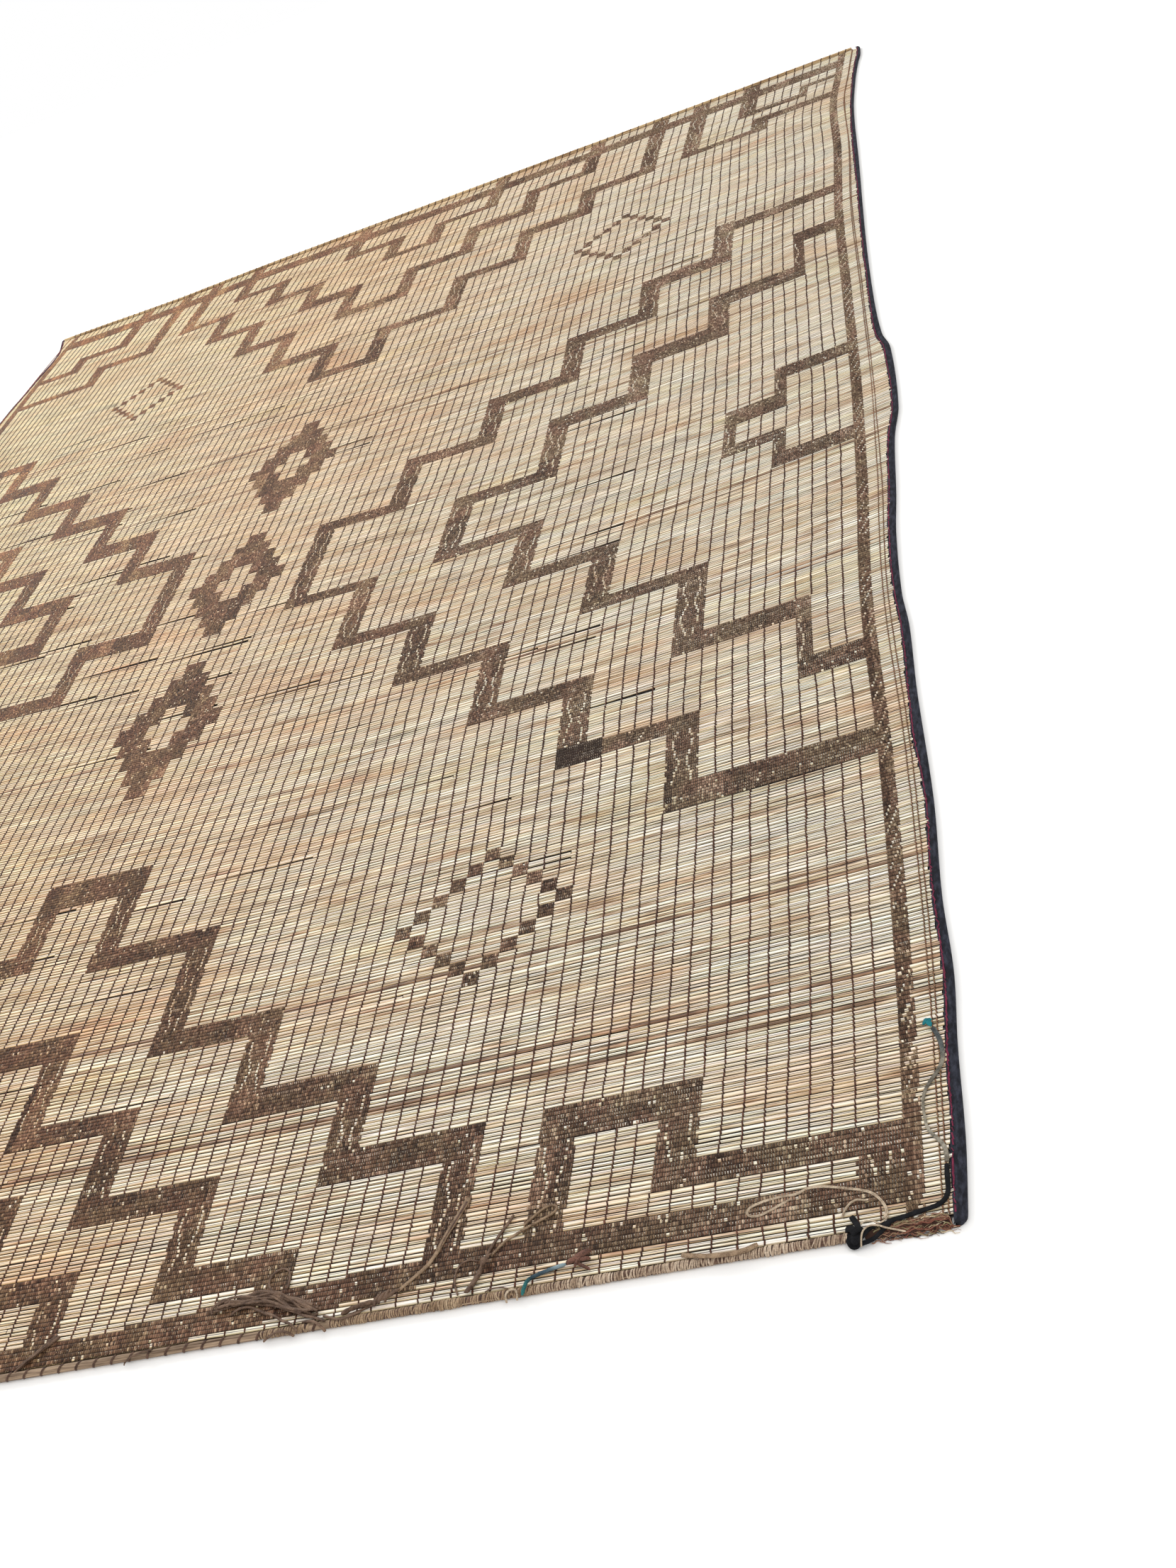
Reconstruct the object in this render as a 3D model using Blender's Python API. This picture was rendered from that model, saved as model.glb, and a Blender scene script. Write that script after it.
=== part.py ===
"""A large floor mat of split reeds, woven together with dark leather thongs.

The reeds lie across the mat and are bound side by side by lines of thong.
A folded cloth strip is sewn over the reeds' ends on both long sides, and the
two short sides end in a lashed bundle of reeds. The near bundle carries the
ties that hold the mat when it is rolled up.

X runs across the mat, along the reeds. Y runs along the mat, from the near
end to the far end. The floor is Z = 0. All sizes are in metres.
"""
import math

import bmesh
import bpy
from mathutils import Vector

# Driving dimensions of the whole mat
MAT_WIDTH = 3.0
MAT_LENGTH = 4.585
OUTLINE_CENTRE = (0.00144, -0.0004)
GAP = 0.0003

# Field of reeds
REED_THICKNESS = 0.0055
UNDULATION = 0.0007
END_LIFT = 0.0016
LIFT_RAMP = 0.030
SAG_FADE = 0.10

# Binding, folded over the reeds' ends
CLOTH_THICKNESS = 0.0012
BINDING_HEIGHT = 0.0086
SEAM_AT = 1.03
CORNER_RADIUS = 0.016
NARROWEST_LIP = 0.0045

# Bundles at the two short ends
BUNDLE_RADIUS = 0.0065
WINDING_THICKNESS = 0.0006
NEAR_BUNDLE_ENDS = (-1.474, 1.3498)
FAR_BUNDLE_ENDS = (-1.474, 1.474)
FRAY_HALF_WIDTH = 0.0070
FRAY_HALF_HEIGHT = 0.0048
FRAY_ENDS = (1.4015, 1.4810)

# Outline of the long sides: distance from the near end, shift outwards
RIGHT_EDGE = (
    (0.00, 0.002), (0.12, 0.008), (0.27, 0.009), (0.40, 0.013), (0.55, 0.007),
    (0.76, 0.008), (1.04, -0.002), (1.23, -0.005), (1.34, -0.013),
    (1.54, -0.014), (1.68, -0.008), (1.91, -0.001), (2.04, 0.012),
    (2.32, 0.007), (2.40, -0.008), (2.60, -0.020), (2.97, -0.028),
    (3.57, -0.031), (4.00, -0.034), (4.28, -0.022), (4.43, -0.010),
    (4.51, -0.001), (4.585, 0.000),
)
LEFT_EDGE = (
    (0.00, 0.000), (0.45, 0.008), (0.95, -0.003), (1.50, 0.010),
    (2.05, -0.004), (2.60, 0.006), (3.15, -0.006), (3.60, -0.014),
    (3.95, -0.024), (4.21, -0.039), (4.43, -0.047), (4.585, -0.010),
)

# Width of the binding's lip: distance from the near end, width
LIP_WIDTHS = (
    (0.00, 0.0150), (0.09, 0.0185), (0.15, 0.0162), (0.33, 0.0142), (0.65, 0.0146),
    (0.82, 0.0138), (0.92, 0.0178), (1.00, 0.0152), (1.26, 0.0156), (1.45, 0.0150),
    (2.10, 0.0150), (2.35, 0.0158), (2.75, 0.0112), (3.30, 0.0116), (3.60, 0.0138),
    (4.00, 0.0108), (4.585, 0.0112),
)

# Stretches of the near bundle under a close winding: start x, end x
WOUND_STRETCHES = (
    (-1.00, -0.78), (-0.30, -0.12), (0.66, 0.72), (0.80, 1.3498),
)

# Routes of the free ties over the mat, by hand: x, y
STRAP_ROUTE = (
    (0.788, -2.256), (0.806, -2.240), (0.823, -2.224), (0.833, -2.206),
    (0.841, -2.183), (0.850, -2.162), (0.858, -2.143), (0.865, -2.126),
)
THONG_STEM_ROUTE = (
    (0.889, -2.280), (0.893, -2.268), (0.898, -2.256), (0.9031, -2.2433),
)
THONG_LOOP_ROUTE = (
    (0.9115, -2.2270), (0.919, -2.217), (0.930, -2.206), (0.945, -2.1975),
    (0.962, -2.189), (0.977, -2.182), (0.989, -2.176), (0.993, -2.168),
    (0.986, -2.163), (0.975, -2.166), (0.965, -2.174), (0.951, -2.187),
)
THONG_SPUR_ROUTE = (
    (0.905, -2.2250), (0.9125, -2.208), (0.920, -2.193), (0.928, -2.180),
    (0.934, -2.168),
)
THIN_LOOP_ROUTE = (
    (0.874, -2.277), (0.868, -2.262), (0.866, -2.246), (0.870, -2.232),
    (0.881, -2.227), (0.895, -2.231),
)
BLUE_CORD_ROUTE = (
    (0.968, -2.285), (0.971, -2.276), (0.979, -2.268), (0.992, -2.264),
    (1.005, -2.261), (1.016, -2.259),
)
BROWN_STRIP_ROUTE = (
    (1.1660, -2.2775), (1.1800, -2.2815), (1.1950, -2.2850), (1.2100, -2.2870),
    (1.2240, -2.2880), (1.2370, -2.2875), (1.2490, -2.2850), (1.2600, -2.2805),
)
PALE_LOOP_ROUTE = (
    (1.4085, -2.2690), (1.4115, -2.2600), (1.4085, -2.2490), (1.4030, -2.2395),
    (1.3950, -2.2305), (1.3840, -2.2240), (1.3700, -2.2190), (1.3540, -2.2135),
    (1.3360, -2.2085), (1.3180, -2.2075), (1.3030, -2.2130), (1.2860, -2.2128),
    (1.2700, -2.2145), (1.2560, -2.2175), (1.2460, -2.2225), (1.2440, -2.2295),
    (1.2500, -2.2345), (1.2600, -2.2350), (1.2730, -2.2300), (1.2860, -2.2240),
    (1.2970, -2.2190),
)
PALE_ARC_ROUTE = (
    (1.3890, -2.2405), (1.3825, -2.2380), (1.3760, -2.2370), (1.3695, -2.2400),
    (1.3630, -2.2480), (1.3592, -2.2590),
)
BLACK_STRIP_ROUTE = (
    (1.4030, -2.2830), (1.4120, -2.2800), (1.4220, -2.2752), (1.4370, -2.2705),
    (1.4520, -2.2678), (1.4640, -2.2660), (1.4735, -2.2630), (1.4805, -2.2560),
    (1.4838, -2.2460), (1.4842, -2.2340), (1.4842, -2.2215), (1.4845, -2.2085),
)
GREY_TAPE_ROUTE = (
    (1.4850, -2.2045), (1.4852, -2.1920), (1.4825, -2.1795), (1.4765, -2.1685),
    (1.4692, -2.1574), (1.4645, -2.1455), (1.4630, -2.1318), (1.4620, -2.1182),
    (1.4622, -2.1047), (1.4655, -2.0908), (1.4720, -2.0785), (1.4795, -2.0679),
    (1.4862, -2.0565), (1.4900, -2.0445), (1.4905, -2.0317), (1.4895, -2.0181),
    (1.4862, -2.0035), (1.4806, -1.9894),
)
CORNER_TIE_ROUTE = (
    (0.231, -2.277), (0.241, -2.267), (0.253, -2.257), (0.266, -2.247),
    (0.279, -2.237),
)
TUFT_LOOP_ROUTE = (
    (0.600, -2.222), (0.592, -2.209), (0.594, -2.195), (0.606, -2.188),
    (0.618, -2.194), (0.622, -2.208), (0.622, -2.222),
)
TUFT_ROUTE = (
    (0.522, -2.238), (0.543, -2.231), (0.574, -2.232), (0.604, -2.238),
    (0.634, -2.250), (0.660, -2.262), (0.682, -2.268),
)

# Round ties: node, diameter, colour, route
ROUND_TIES = (
    ("thong_stem", 0.0050, "thong", THONG_STEM_ROUTE),
    ("thong_loop", 0.0032, "thong", THONG_LOOP_ROUTE),
    ("thong_spur", 0.0036, "thong", THONG_SPUR_ROUTE),
    ("thin_loop", 0.0024, "thong", THIN_LOOP_ROUTE),
    ("blue_cord", 0.0050, "blue_twine", BLUE_CORD_ROUTE),
    ("pale_loop", 0.0044, "pale_twine", PALE_LOOP_ROUTE),
    ("pale_arc", 0.0030, "pale_twine", PALE_ARC_ROUTE),
    ("corner_tie", 0.0050, "thong", CORNER_TIE_ROUTE),
    ("tuft_loop", 0.0030, "thong", TUFT_LOOP_ROUTE),
)

# Flat ties: node, width at the start, width at the end, thickness, colour, route
FLAT_TIES = (
    ("strap", 0.0046, 0.0100, 0.0026, "thong", STRAP_ROUTE),
    ("brown_strip", 0.0060, 0.0074, 0.0022, "thong", BROWN_STRIP_ROUTE),
    ("black_strip", 0.0068, 0.0060, 0.0024, "black_cloth", BLACK_STRIP_ROUTE),
    ("grey_tape", 0.0058, 0.0062, 0.0018, "grey_tape", GREY_TAPE_ROUTE),
)

# Finishes: colour (linear), roughness, metallic
FINISHES = {
    "reed": ((0.74, 0.64, 0.45), 0.62, 0.0),
    "bundle": ((0.45, 0.33, 0.19), 0.70, 0.0),
    "thong": ((0.12, 0.07, 0.045), 0.60, 0.0),
    "binding": ((0.030, 0.034, 0.045), 0.80, 0.0),
    "fray": ((0.30, 0.16, 0.10), 0.85, 0.0),
    "blue_twine": ((0.10, 0.22, 0.26), 0.75, 0.0),
    "pale_twine": ((0.38, 0.29, 0.20), 0.75, 0.0),
    "black_cloth": ((0.012, 0.012, 0.014), 0.85, 0.0),
    "grey_tape": ((0.20, 0.20, 0.20), 0.70, 0.0),
    "teal_knot": ((0.02, 0.22, 0.25), 0.75, 0.0),
}

NEAR_END = -MAT_LENGTH / 2
FAR_END = MAT_LENGTH / 2
BUNDLE_LINE = NEAR_END + BUNDLE_RADIUS
FIELD_NEAR = NEAR_END + 2 * (BUNDLE_RADIUS + WINDING_THICKNESS) + GAP
FIELD_FAR = FAR_END - 2 * (BUNDLE_RADIUS + WINDING_THICKNESS) - GAP
FRAY_LINE = FIELD_NEAR - GAP - FRAY_HALF_WIDTH


def clear_scene():
    """Remove every object that the open file holds."""
    for item in list(bpy.data.objects):
        bpy.data.objects.remove(item, do_unlink=True)


def make_finish(name):
    """Return one material from the table of finishes."""
    colour, roughness, metallic = FINISHES[name]
    material = bpy.data.materials.new(name)
    material.use_nodes = True
    shader = material.node_tree.nodes["Principled BSDF"]
    shader.inputs["Base Color"].default_value = (*colour, 1.0)
    shader.inputs["Roughness"].default_value = roughness
    shader.inputs["Metallic"].default_value = metallic
    return material


def smooth_value(table, at):
    """Read a cubic curve through a table of (place, value) rows."""
    places = [row[0] for row in table]
    values = [row[1] for row in table]
    at = min(max(at, places[0]), places[-1])
    last = len(table) - 1
    low = max(i for i in range(last) if places[i] <= at)

    def slope(i):
        before = max(i - 1, 0)
        after = min(i + 1, last)
        return (values[after] - values[before]) / (places[after] - places[before])

    span = places[low + 1] - places[low]
    t = (at - places[low]) / span
    start = (2 * t**3 - 3 * t**2 + 1) * values[low]
    start_slope = (t**3 - 2 * t**2 + t) * span * slope(low)
    end = (3 * t**2 - 2 * t**3) * values[low + 1]
    end_slope = (t**3 - t**2) * span * slope(low + 1)
    return start + start_slope + end + end_slope


def corner_cut(y):
    """Return how far a rounded corner of the binding stands in from the side."""
    to_end = min(y - NEAR_END, FAR_END - y)
    if to_end >= CORNER_RADIUS:
        return 0.0
    return CORNER_RADIUS - math.sqrt(CORNER_RADIUS**2 - (CORNER_RADIUS - to_end) ** 2)


def side(hand, y):
    """Return the outline's x on the right (hand +1) or the left (hand -1)."""
    table = RIGHT_EDGE if hand > 0 else LEFT_EDGE
    return hand * (MAT_WIDTH / 2 + smooth_value(table, y - NEAR_END))


def lip_width(hand, y):
    """Return the width of the binding's lip over the reeds' ends."""
    return smooth_value(LIP_WIDTHS, y - NEAR_END) + 0.0006 * math.sin(9.0 * y + hand)


def field_top(x, y):
    """Return the height of the reeds' upper face, uneven by under a millimetre."""
    inset = min(side(1, y) - x, x - side(-1, y))
    lift = END_LIFT * max(0.0, 1.0 - max(inset - 0.026, 0.0) / LIFT_RAMP)
    fade = min(1.0, max(inset - 0.026, 0.0) / SAG_FADE)
    fade *= min(1.0, (y - NEAR_END) / SAG_FADE, (FAR_END - y) / SAG_FADE)
    wave = math.sin(5.1 * x + 1.7 * y) + math.sin(3.3 * y - 2.2 * x + 0.8)
    return REED_THICKNESS + lift + fade * UNDULATION * 0.5 * wave


def bundle_radius(x):
    """Return the near bundle's radius, thicker under its windings."""
    wound = any(start <= x <= end for start, end in WOUND_STRETCHES)
    lumps = 0.00025 * math.sin(37.0 * x) + 0.0002 * math.sin(91.0 * x + 1.0)
    return BUNDLE_RADIUS - 0.0005 + lumps + (WINDING_THICKNESS if wound else 0.0)


def bundle_top(x, y):
    """Return the height of the near bundle or of the frayed edge beside it."""
    half_width = half_height = BUNDLE_RADIUS + WINDING_THICKNESS
    line = BUNDLE_LINE
    if x > NEAR_BUNDLE_ENDS[1]:
        half_width, half_height, line = FRAY_HALF_WIDTH, FRAY_HALF_HEIGHT, FRAY_LINE
    off = (y - line) / half_width
    if abs(off) >= 1.0:
        return 0.0
    return half_height * (1.0 + math.sqrt(1.0 - off**2))


def resting_height(x, y, reach):
    """Return the highest support under a tie that reaches to both sides."""
    heights = []
    for dx, dy in ((0, 0), (0, reach), (0, -reach), (reach, 0), (-reach, 0)):
        heights.append(bundle_top(x + dx, y + dy))
        if y + dy > FIELD_NEAR:
            heights.append(field_top(x + dx, y + dy))
    return max(heights)


def spline_points(route, step):
    """Return points about one step apart on a smooth curve through a route."""
    first = 2 * Vector(route[0]) - Vector(route[1])
    last = 2 * Vector(route[-1]) - Vector(route[-2])
    knots = [first] + [Vector(point) for point in route] + [last]
    points = [knots[1]]
    for i in range(1, len(knots) - 2):
        a, b, c, d = knots[i - 1:i + 3]
        count = max(1, round((c - b).length / step))
        for k in range(1, count + 1):
            t = k / count
            bend = 2 * b + (c - a) * t + (2 * a - 5 * b + 4 * c - d) * t**2
            points.append(0.5 * (bend + (3 * b - a - 3 * c + d) * t**3))
    return points


def lay_route(route, step, half_width, half_height):
    """Lay a flat route on the mat and return its points in space."""
    flat = spline_points(route, step)
    rests = [resting_height(x, y, half_width) for x, y in flat]
    last = len(flat) - 1
    held = [max(rests[max(i - 1, 0):min(i + 1, last) + 1]) for i in range(last + 1)]
    heights = [max(rests[i], (held[max(i - 1, 0)] + held[i] + held[min(i + 1, last)]) / 3)
               for i in range(last + 1)]
    lift = half_height + GAP + 0.0002
    return [Vector((x, y, z + lift)) for (x, y), z in zip(flat, heights)]


def stations():
    """Return the places along the mat where every long piece is measured."""
    rows = 44
    inner = [FIELD_NEAR + (FIELD_FAR - FIELD_NEAR) * k / rows for k in range(rows + 1)]
    seam = NEAR_END + SEAM_AT
    near = [NEAR_END + step for step in (0.0, 0.0015, 0.005, 0.010)]
    far = [FAR_END - step for step in (0.0, 0.0015, 0.005, 0.010)]
    return sorted(near + inner + [seam - GAP / 2, seam + GAP / 2] + far)


def place(point):
    """Move a point from the loom's frame to the outline's centre."""
    return (point[0] - OUTLINE_CENTRE[0], point[1] - OUTLINE_CENTRE[1], point[2])


def add_mesh(name, points, faces, finish):
    """Make one closed, outward-facing mesh object."""
    mesh = bpy.data.meshes.new(name)
    shape = bmesh.new()
    corners = [shape.verts.new(place(point)) for point in points]
    for face in faces:
        shape.faces.new([corners[i] for i in face])
    bmesh.ops.recalc_face_normals(shape, faces=shape.faces)
    shape.to_mesh(mesh)
    shape.free()
    mesh.materials.append(finish)
    item = bpy.data.objects.new(name, mesh)
    bpy.context.collection.objects.link(item)
    return item


def sweep(name, rings, finish):
    """Skin a row of equal rings and close both ends."""
    count = len(rings[0])
    points = [point for ring in rings for point in ring]
    faces = []
    for row in range(len(rings) - 1):
        for k in range(count):
            a = row * count + k
            b = row * count + (k + 1) % count
            faces.append((a, b, b + count, a + count))
    faces.append(tuple(range(count)))
    faces.append(tuple(len(points) - count + k for k in range(count)))
    item = add_mesh(name, points, faces, finish)
    item.data.shade_smooth()
    item.data.set_sharp_from_angle(angle=math.radians(50))
    return item


def make_field(finish):
    """Make the sheet of reeds, flat below and gently uneven above."""
    inner_columns = 18
    lines = [y for y in stations() if FIELD_NEAR <= y <= FIELD_FAR]
    rows = len(lines) - 1
    points = {"top": [], "bottom": []}
    for y in lines:
        wall = CLOTH_THICKNESS + GAP
        left = side(-1, y) + corner_cut(y) + wall
        right = side(1, y) - corner_cut(y) - wall
        edge_steps = (0.0, 0.026, 0.026 + LIFT_RAMP)
        inner_left, inner_right = left + edge_steps[2], right - edge_steps[2]
        inner = [inner_left + (inner_right - inner_left) * k / inner_columns
                 for k in range(1, inner_columns)]
        columns = [left + step for step in edge_steps] + inner
        columns += [right - step for step in reversed(edge_steps)]
        for x in columns:
            top = field_top(x, y)
            raised = min(x - left, right - x) < LIFT_RAMP
            points["top"].append((x, y, top))
            points["bottom"].append((x, y, END_LIFT if raised else 0.0))
    wide = len(points["top"]) // (rows + 1)
    size = len(points["top"])
    faces = []
    for row in range(rows):
        for k in range(wide - 1):
            a = row * wide + k
            faces.append((a, a + 1, a + wide + 1, a + wide))
            faces.append((a + size, a + wide + size, a + wide + 1 + size, a + 1 + size))
    rim = list(range(wide))
    rim += [row * wide + wide - 1 for row in range(1, rows + 1)]
    rim += [rows * wide + k for k in range(wide - 2, -1, -1)]
    rim += [row * wide for row in range(rows - 1, 0, -1)]
    for i, a in enumerate(rim):
        b = rim[(i + 1) % len(rim)]
        faces.append((a, a + size, b + size, b))
    return add_mesh("field", points["top"] + points["bottom"], faces, finish)


def binding_ring(hand, y):
    """Return one cross-section of the folded strip, open towards the reeds."""
    cut = corner_cut(y)
    outer = side(hand, y) - hand * cut
    inner = side(hand, y) - hand * max(lip_width(hand, y), cut + NARROWEST_LIP)
    cloth = CLOTH_THICKNESS
    round_off = 0.0022
    top = BINDING_HEIGHT
    section = (
        (inner, 0.0), (outer - hand * round_off, 0.0), (outer, round_off),
        (outer, top - round_off), (outer - hand * round_off, top), (inner, top),
        (inner, top - cloth), (outer - hand * cloth, top - cloth),
        (outer - hand * cloth, cloth), (inner, cloth),
    )
    return [(x, y, z) for x, z in section]


def make_binding(name, hand, start, end, finish):
    """Make one length of the folded cloth strip along a long side."""
    lines = [y for y in stations() if start <= y <= end]
    return sweep(name, [binding_ring(hand, y) for y in lines], finish)


def round_ring(x, y, half_width, half_height, sides=10):
    """Return a ring around a line that runs across the mat on the floor."""
    turns = [2 * math.pi * (k + 0.5) / sides for k in range(sides)]
    flat = math.cos(math.pi / sides)
    return [(x, y + half_width * math.cos(turn), max(0.0, half_height * (flat + math.sin(turn))))
            for turn in turns]


def make_near_bundle(finish):
    """Make the lashed bundle at the near end, lumpy under its windings."""
    start, end = NEAR_BUNDLE_ENDS
    steps = 84
    rings = []
    for k in range(steps + 1):
        x = start + (end - start) * k / steps
        line = BUNDLE_LINE + 0.0006 * math.sin(11.0 * x)
        rings.append(round_ring(x, line, bundle_radius(x), bundle_radius(x)))
    return sweep("near_bundle", rings, finish)


def make_far_bundle(finish):
    """Make the lashed bundle at the far end."""
    start, end = FAR_BUNDLE_ENDS
    steps = 36
    rings = []
    for k in range(steps + 1):
        x = start + (end - start) * k / steps
        radius = BUNDLE_RADIUS - 0.0004 + 0.0003 * math.sin(23.0 * x)
        rings.append(round_ring(x, FAR_END - BUNDLE_RADIUS, radius, radius, 8))
    return sweep("far_bundle", rings, finish)


def make_frayed_edge(finish):
    """Make the loose fibres that finish the near end beside the corner."""
    start, end = FRAY_ENDS
    steps = 8
    rings = []
    for k in range(steps + 1):
        x = start + (end - start) * k / steps
        high = FRAY_HALF_HEIGHT * (1.0 - 0.35 * (k / steps) ** 2)
        rings.append(round_ring(x, FRAY_LINE, FRAY_HALF_WIDTH, high, 8))
    return sweep("frayed_edge", rings, finish)


def make_round_tie(name, diameter, route, finish):
    """Make a round tie as a curve laid over the mat."""
    points = lay_route(route, 2.5 * diameter, diameter / 2, diameter / 2)
    curve = bpy.data.curves.new(name, "CURVE")
    curve.dimensions = "3D"
    curve.bevel_depth = diameter / 2
    curve.bevel_resolution = 2
    curve.use_fill_caps = True
    line = curve.splines.new("POLY")
    line.points.add(len(points) - 1)
    for spot, point in zip(line.points, points):
        spot.co = (*place(point), 1.0)
    curve.materials.append(finish)
    item = bpy.data.objects.new(name, curve)
    bpy.context.collection.objects.link(item)
    return item


def make_flat_tie(name, first_width, last_width, thickness, route, finish):
    """Make a flat strip laid over the mat, with its corners taken off."""
    widest = max(first_width, last_width)
    points = lay_route(route, 1.6 * widest, widest / 2, thickness / 2)
    section = ((-0.5, 0.0), (-0.35, -0.5), (0.35, -0.5), (0.5, 0.0), (0.35, 0.5), (-0.35, 0.5))
    last = len(points) - 1
    rings = []
    for i, point in enumerate(points):
        ahead = points[min(i + 1, last)] - points[max(i - 1, 0)]
        across = Vector((ahead.y, -ahead.x, 0.0)).normalized()
        width = first_width + (last_width - first_width) * i / last
        if i == last:
            width *= 0.6
        rings.append([point + across * width * u + Vector((0, 0, thickness * v))
                      for u, v in section])
    return sweep(name, rings, finish)


def make_lump(name, centre, radii, turn, finish, sides=10):
    """Make one rounded lump: an ellipsoid turned about the vertical."""
    bpy.ops.mesh.primitive_uv_sphere_add(segments=sides, ring_count=6)
    item = bpy.context.object
    item.name = name
    item.data.name = name
    item.scale = radii
    item.rotation_euler = (0.0, 0.0, turn)
    item.location = place(centre)
    item.data.materials.append(finish)
    item.data.shade_smooth()
    return item


def join_lumps(base, others):
    """Join lumps to a first one as a single body."""
    for other in others:
        joint = base.modifiers.new(other.name, "BOOLEAN")
        joint.operation = "UNION"
        joint.solver = "EXACT"
        joint.object = other
        other.hide_render = True
        other.display_type = "WIRE"


def make_black_knot(finish):
    """Make the black cloth knot at the end of the near bundle."""
    body = make_lump("black_knot", (1.3720, BUNDLE_LINE + 0.0010, 0.0086),
                     (0.0185, 0.0066, 0.0084), 0.0, finish)
    arm = make_lump("knot_arm", (1.3712, -2.2705, 0.0094),
                    (0.0052, 0.0125, 0.0033), 0.10, finish)
    ear = make_lump("knot_ear", (1.3580, -2.2790, 0.0122),
                    (0.0080, 0.0062, 0.0046), 0.3, finish)
    lobe = make_lump("knot_lobe", (1.3880, -2.2810, 0.0112),
                     (0.0095, 0.0062, 0.0042), 0.6, finish)
    join_lumps(body, (arm, ear, lobe))
    return body


def make_strap_knot(finish):
    """Make the knot of the leather strap, with the twisted cord beside it."""
    body = make_lump("strap_knot", (0.7700, -2.2655, 0.0098),
                     (0.0155, 0.0066, 0.0040), 0.35, finish)
    cord = make_lump("strap_cord", (0.7420, -2.2715, 0.0100),
                     (0.0240, 0.0034, 0.0030), 0.20, finish)
    join_lumps(body, (cord,))
    return body


def make_hide_tuft(finish):
    """Make the small folded leather tuft at the end of the blue cord."""
    body = make_lump("hide_tuft", (1.0245, -2.2590, 0.0100),
                     (0.0055, 0.0050, 0.0036), 0.0, finish)
    upper = make_lump("tuft_upper", (1.0370, -2.2510, 0.0104),
                      (0.0145, 0.0040, 0.0034), 0.62, finish)
    lower = make_lump("tuft_lower", (1.0370, -2.2655, 0.0098),
                      (0.0145, 0.0036, 0.0030), -0.50, finish)
    join_lumps(body, (upper, lower))
    return body


def make_thong_tuft(finish):
    """Make the thick lock of loose thongs that lies back over the mat."""
    points = lay_route(TUFT_ROUTE, 0.014, 0.008, 0.0068)
    last = len(points) - 1
    sides = 8
    rings = []
    for i, point in enumerate(points):
        share = i / last
        swell = 0.35 + 0.65 * math.sin(math.pi * min(1.0, 0.12 + 0.72 * share))
        ahead = points[min(i + 1, last)] - points[max(i - 1, 0)]
        across = Vector((ahead.y, -ahead.x, 0.0)).normalized()
        ring = []
        for k in range(sides):
            turn = 2 * math.pi * k / sides
            out = across * 0.0095 * swell * math.cos(turn)
            ring.append(point + out + Vector((0, 0, 0.0066 * swell * math.sin(turn))))
        rings.append(ring)
    return sweep("thong_tuft", rings, finish)


def make_ties(finishes):
    """Make every free tie, with the knots on two of them."""
    for name, diameter, colour, route in ROUND_TIES:
        make_round_tie(name, diameter, route, finishes[colour])
    for name, first, last, thickness, colour, route in FLAT_TIES:
        make_flat_tie(name, first, last, thickness, route, finishes[colour])
    make_lump("thong_knot", (0.9062, -2.2355, 0.0104),
              (0.0058, 0.0078, 0.0044), -0.45, finishes["thong"])
    make_lump("tape_knot", (1.4762, -1.9822, 0.0105),
              (0.0070, 0.0056, 0.0038), 2.08, finishes["teal_knot"])


def build():
    """Make the whole mat."""
    clear_scene()
    finishes = {name: make_finish(name) for name in FINISHES}
    make_field(finishes["reed"])
    seam = NEAR_END + SEAM_AT
    make_binding("binding_right_near", 1, NEAR_END, seam - GAP / 2, finishes["binding"])
    make_binding("binding_right_far", 1, seam + GAP / 2, FAR_END, finishes["binding"])
    make_binding("binding_left", -1, NEAR_END, FAR_END, finishes["binding"])
    make_near_bundle(finishes["bundle"])
    make_far_bundle(finishes["bundle"])
    make_frayed_edge(finishes["fray"])
    make_black_knot(finishes["black_cloth"])
    make_strap_knot(finishes["thong"])
    make_hide_tuft(finishes["thong"])
    make_thong_tuft(finishes["thong"])
    make_ties(finishes)


build()
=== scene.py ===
# %% [markdown]
# # A large mat of split reeds, laced with leather
#
# The real mat is over six hundred split reeds laid side by side. Thin leather
# thongs bind each reed to the next. Where many thongs are packed together they
# cover the reeds, and so draw stepped diamonds in brown on cream. This lesson
# dresses the plain CAD mat with every reed and every stitch.

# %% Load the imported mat
import math

import bpy
import numpy as np
from mathutils import Matrix, Vector


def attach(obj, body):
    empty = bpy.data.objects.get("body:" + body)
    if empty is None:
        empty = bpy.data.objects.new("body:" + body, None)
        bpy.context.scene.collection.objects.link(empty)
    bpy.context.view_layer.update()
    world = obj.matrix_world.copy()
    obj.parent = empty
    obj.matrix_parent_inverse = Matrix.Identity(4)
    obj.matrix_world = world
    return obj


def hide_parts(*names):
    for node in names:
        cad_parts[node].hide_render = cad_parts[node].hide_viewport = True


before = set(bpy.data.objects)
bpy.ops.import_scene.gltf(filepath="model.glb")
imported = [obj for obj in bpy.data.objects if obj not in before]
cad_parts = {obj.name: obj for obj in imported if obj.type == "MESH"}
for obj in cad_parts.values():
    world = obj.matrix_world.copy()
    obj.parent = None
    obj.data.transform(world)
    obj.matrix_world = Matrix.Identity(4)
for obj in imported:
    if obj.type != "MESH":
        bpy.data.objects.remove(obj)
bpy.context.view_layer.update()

# %% [markdown]
# ## The loom's frame
#
# All places are in metres on the loom: X across the mat, Y along it, zero in
# the middle. The outline is a little uneven, so its middle stands off the
# loom's middle, and one function moves a point between the two. The long sides
# are smooth curves through a few measured places, as in the CAD source.

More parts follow.
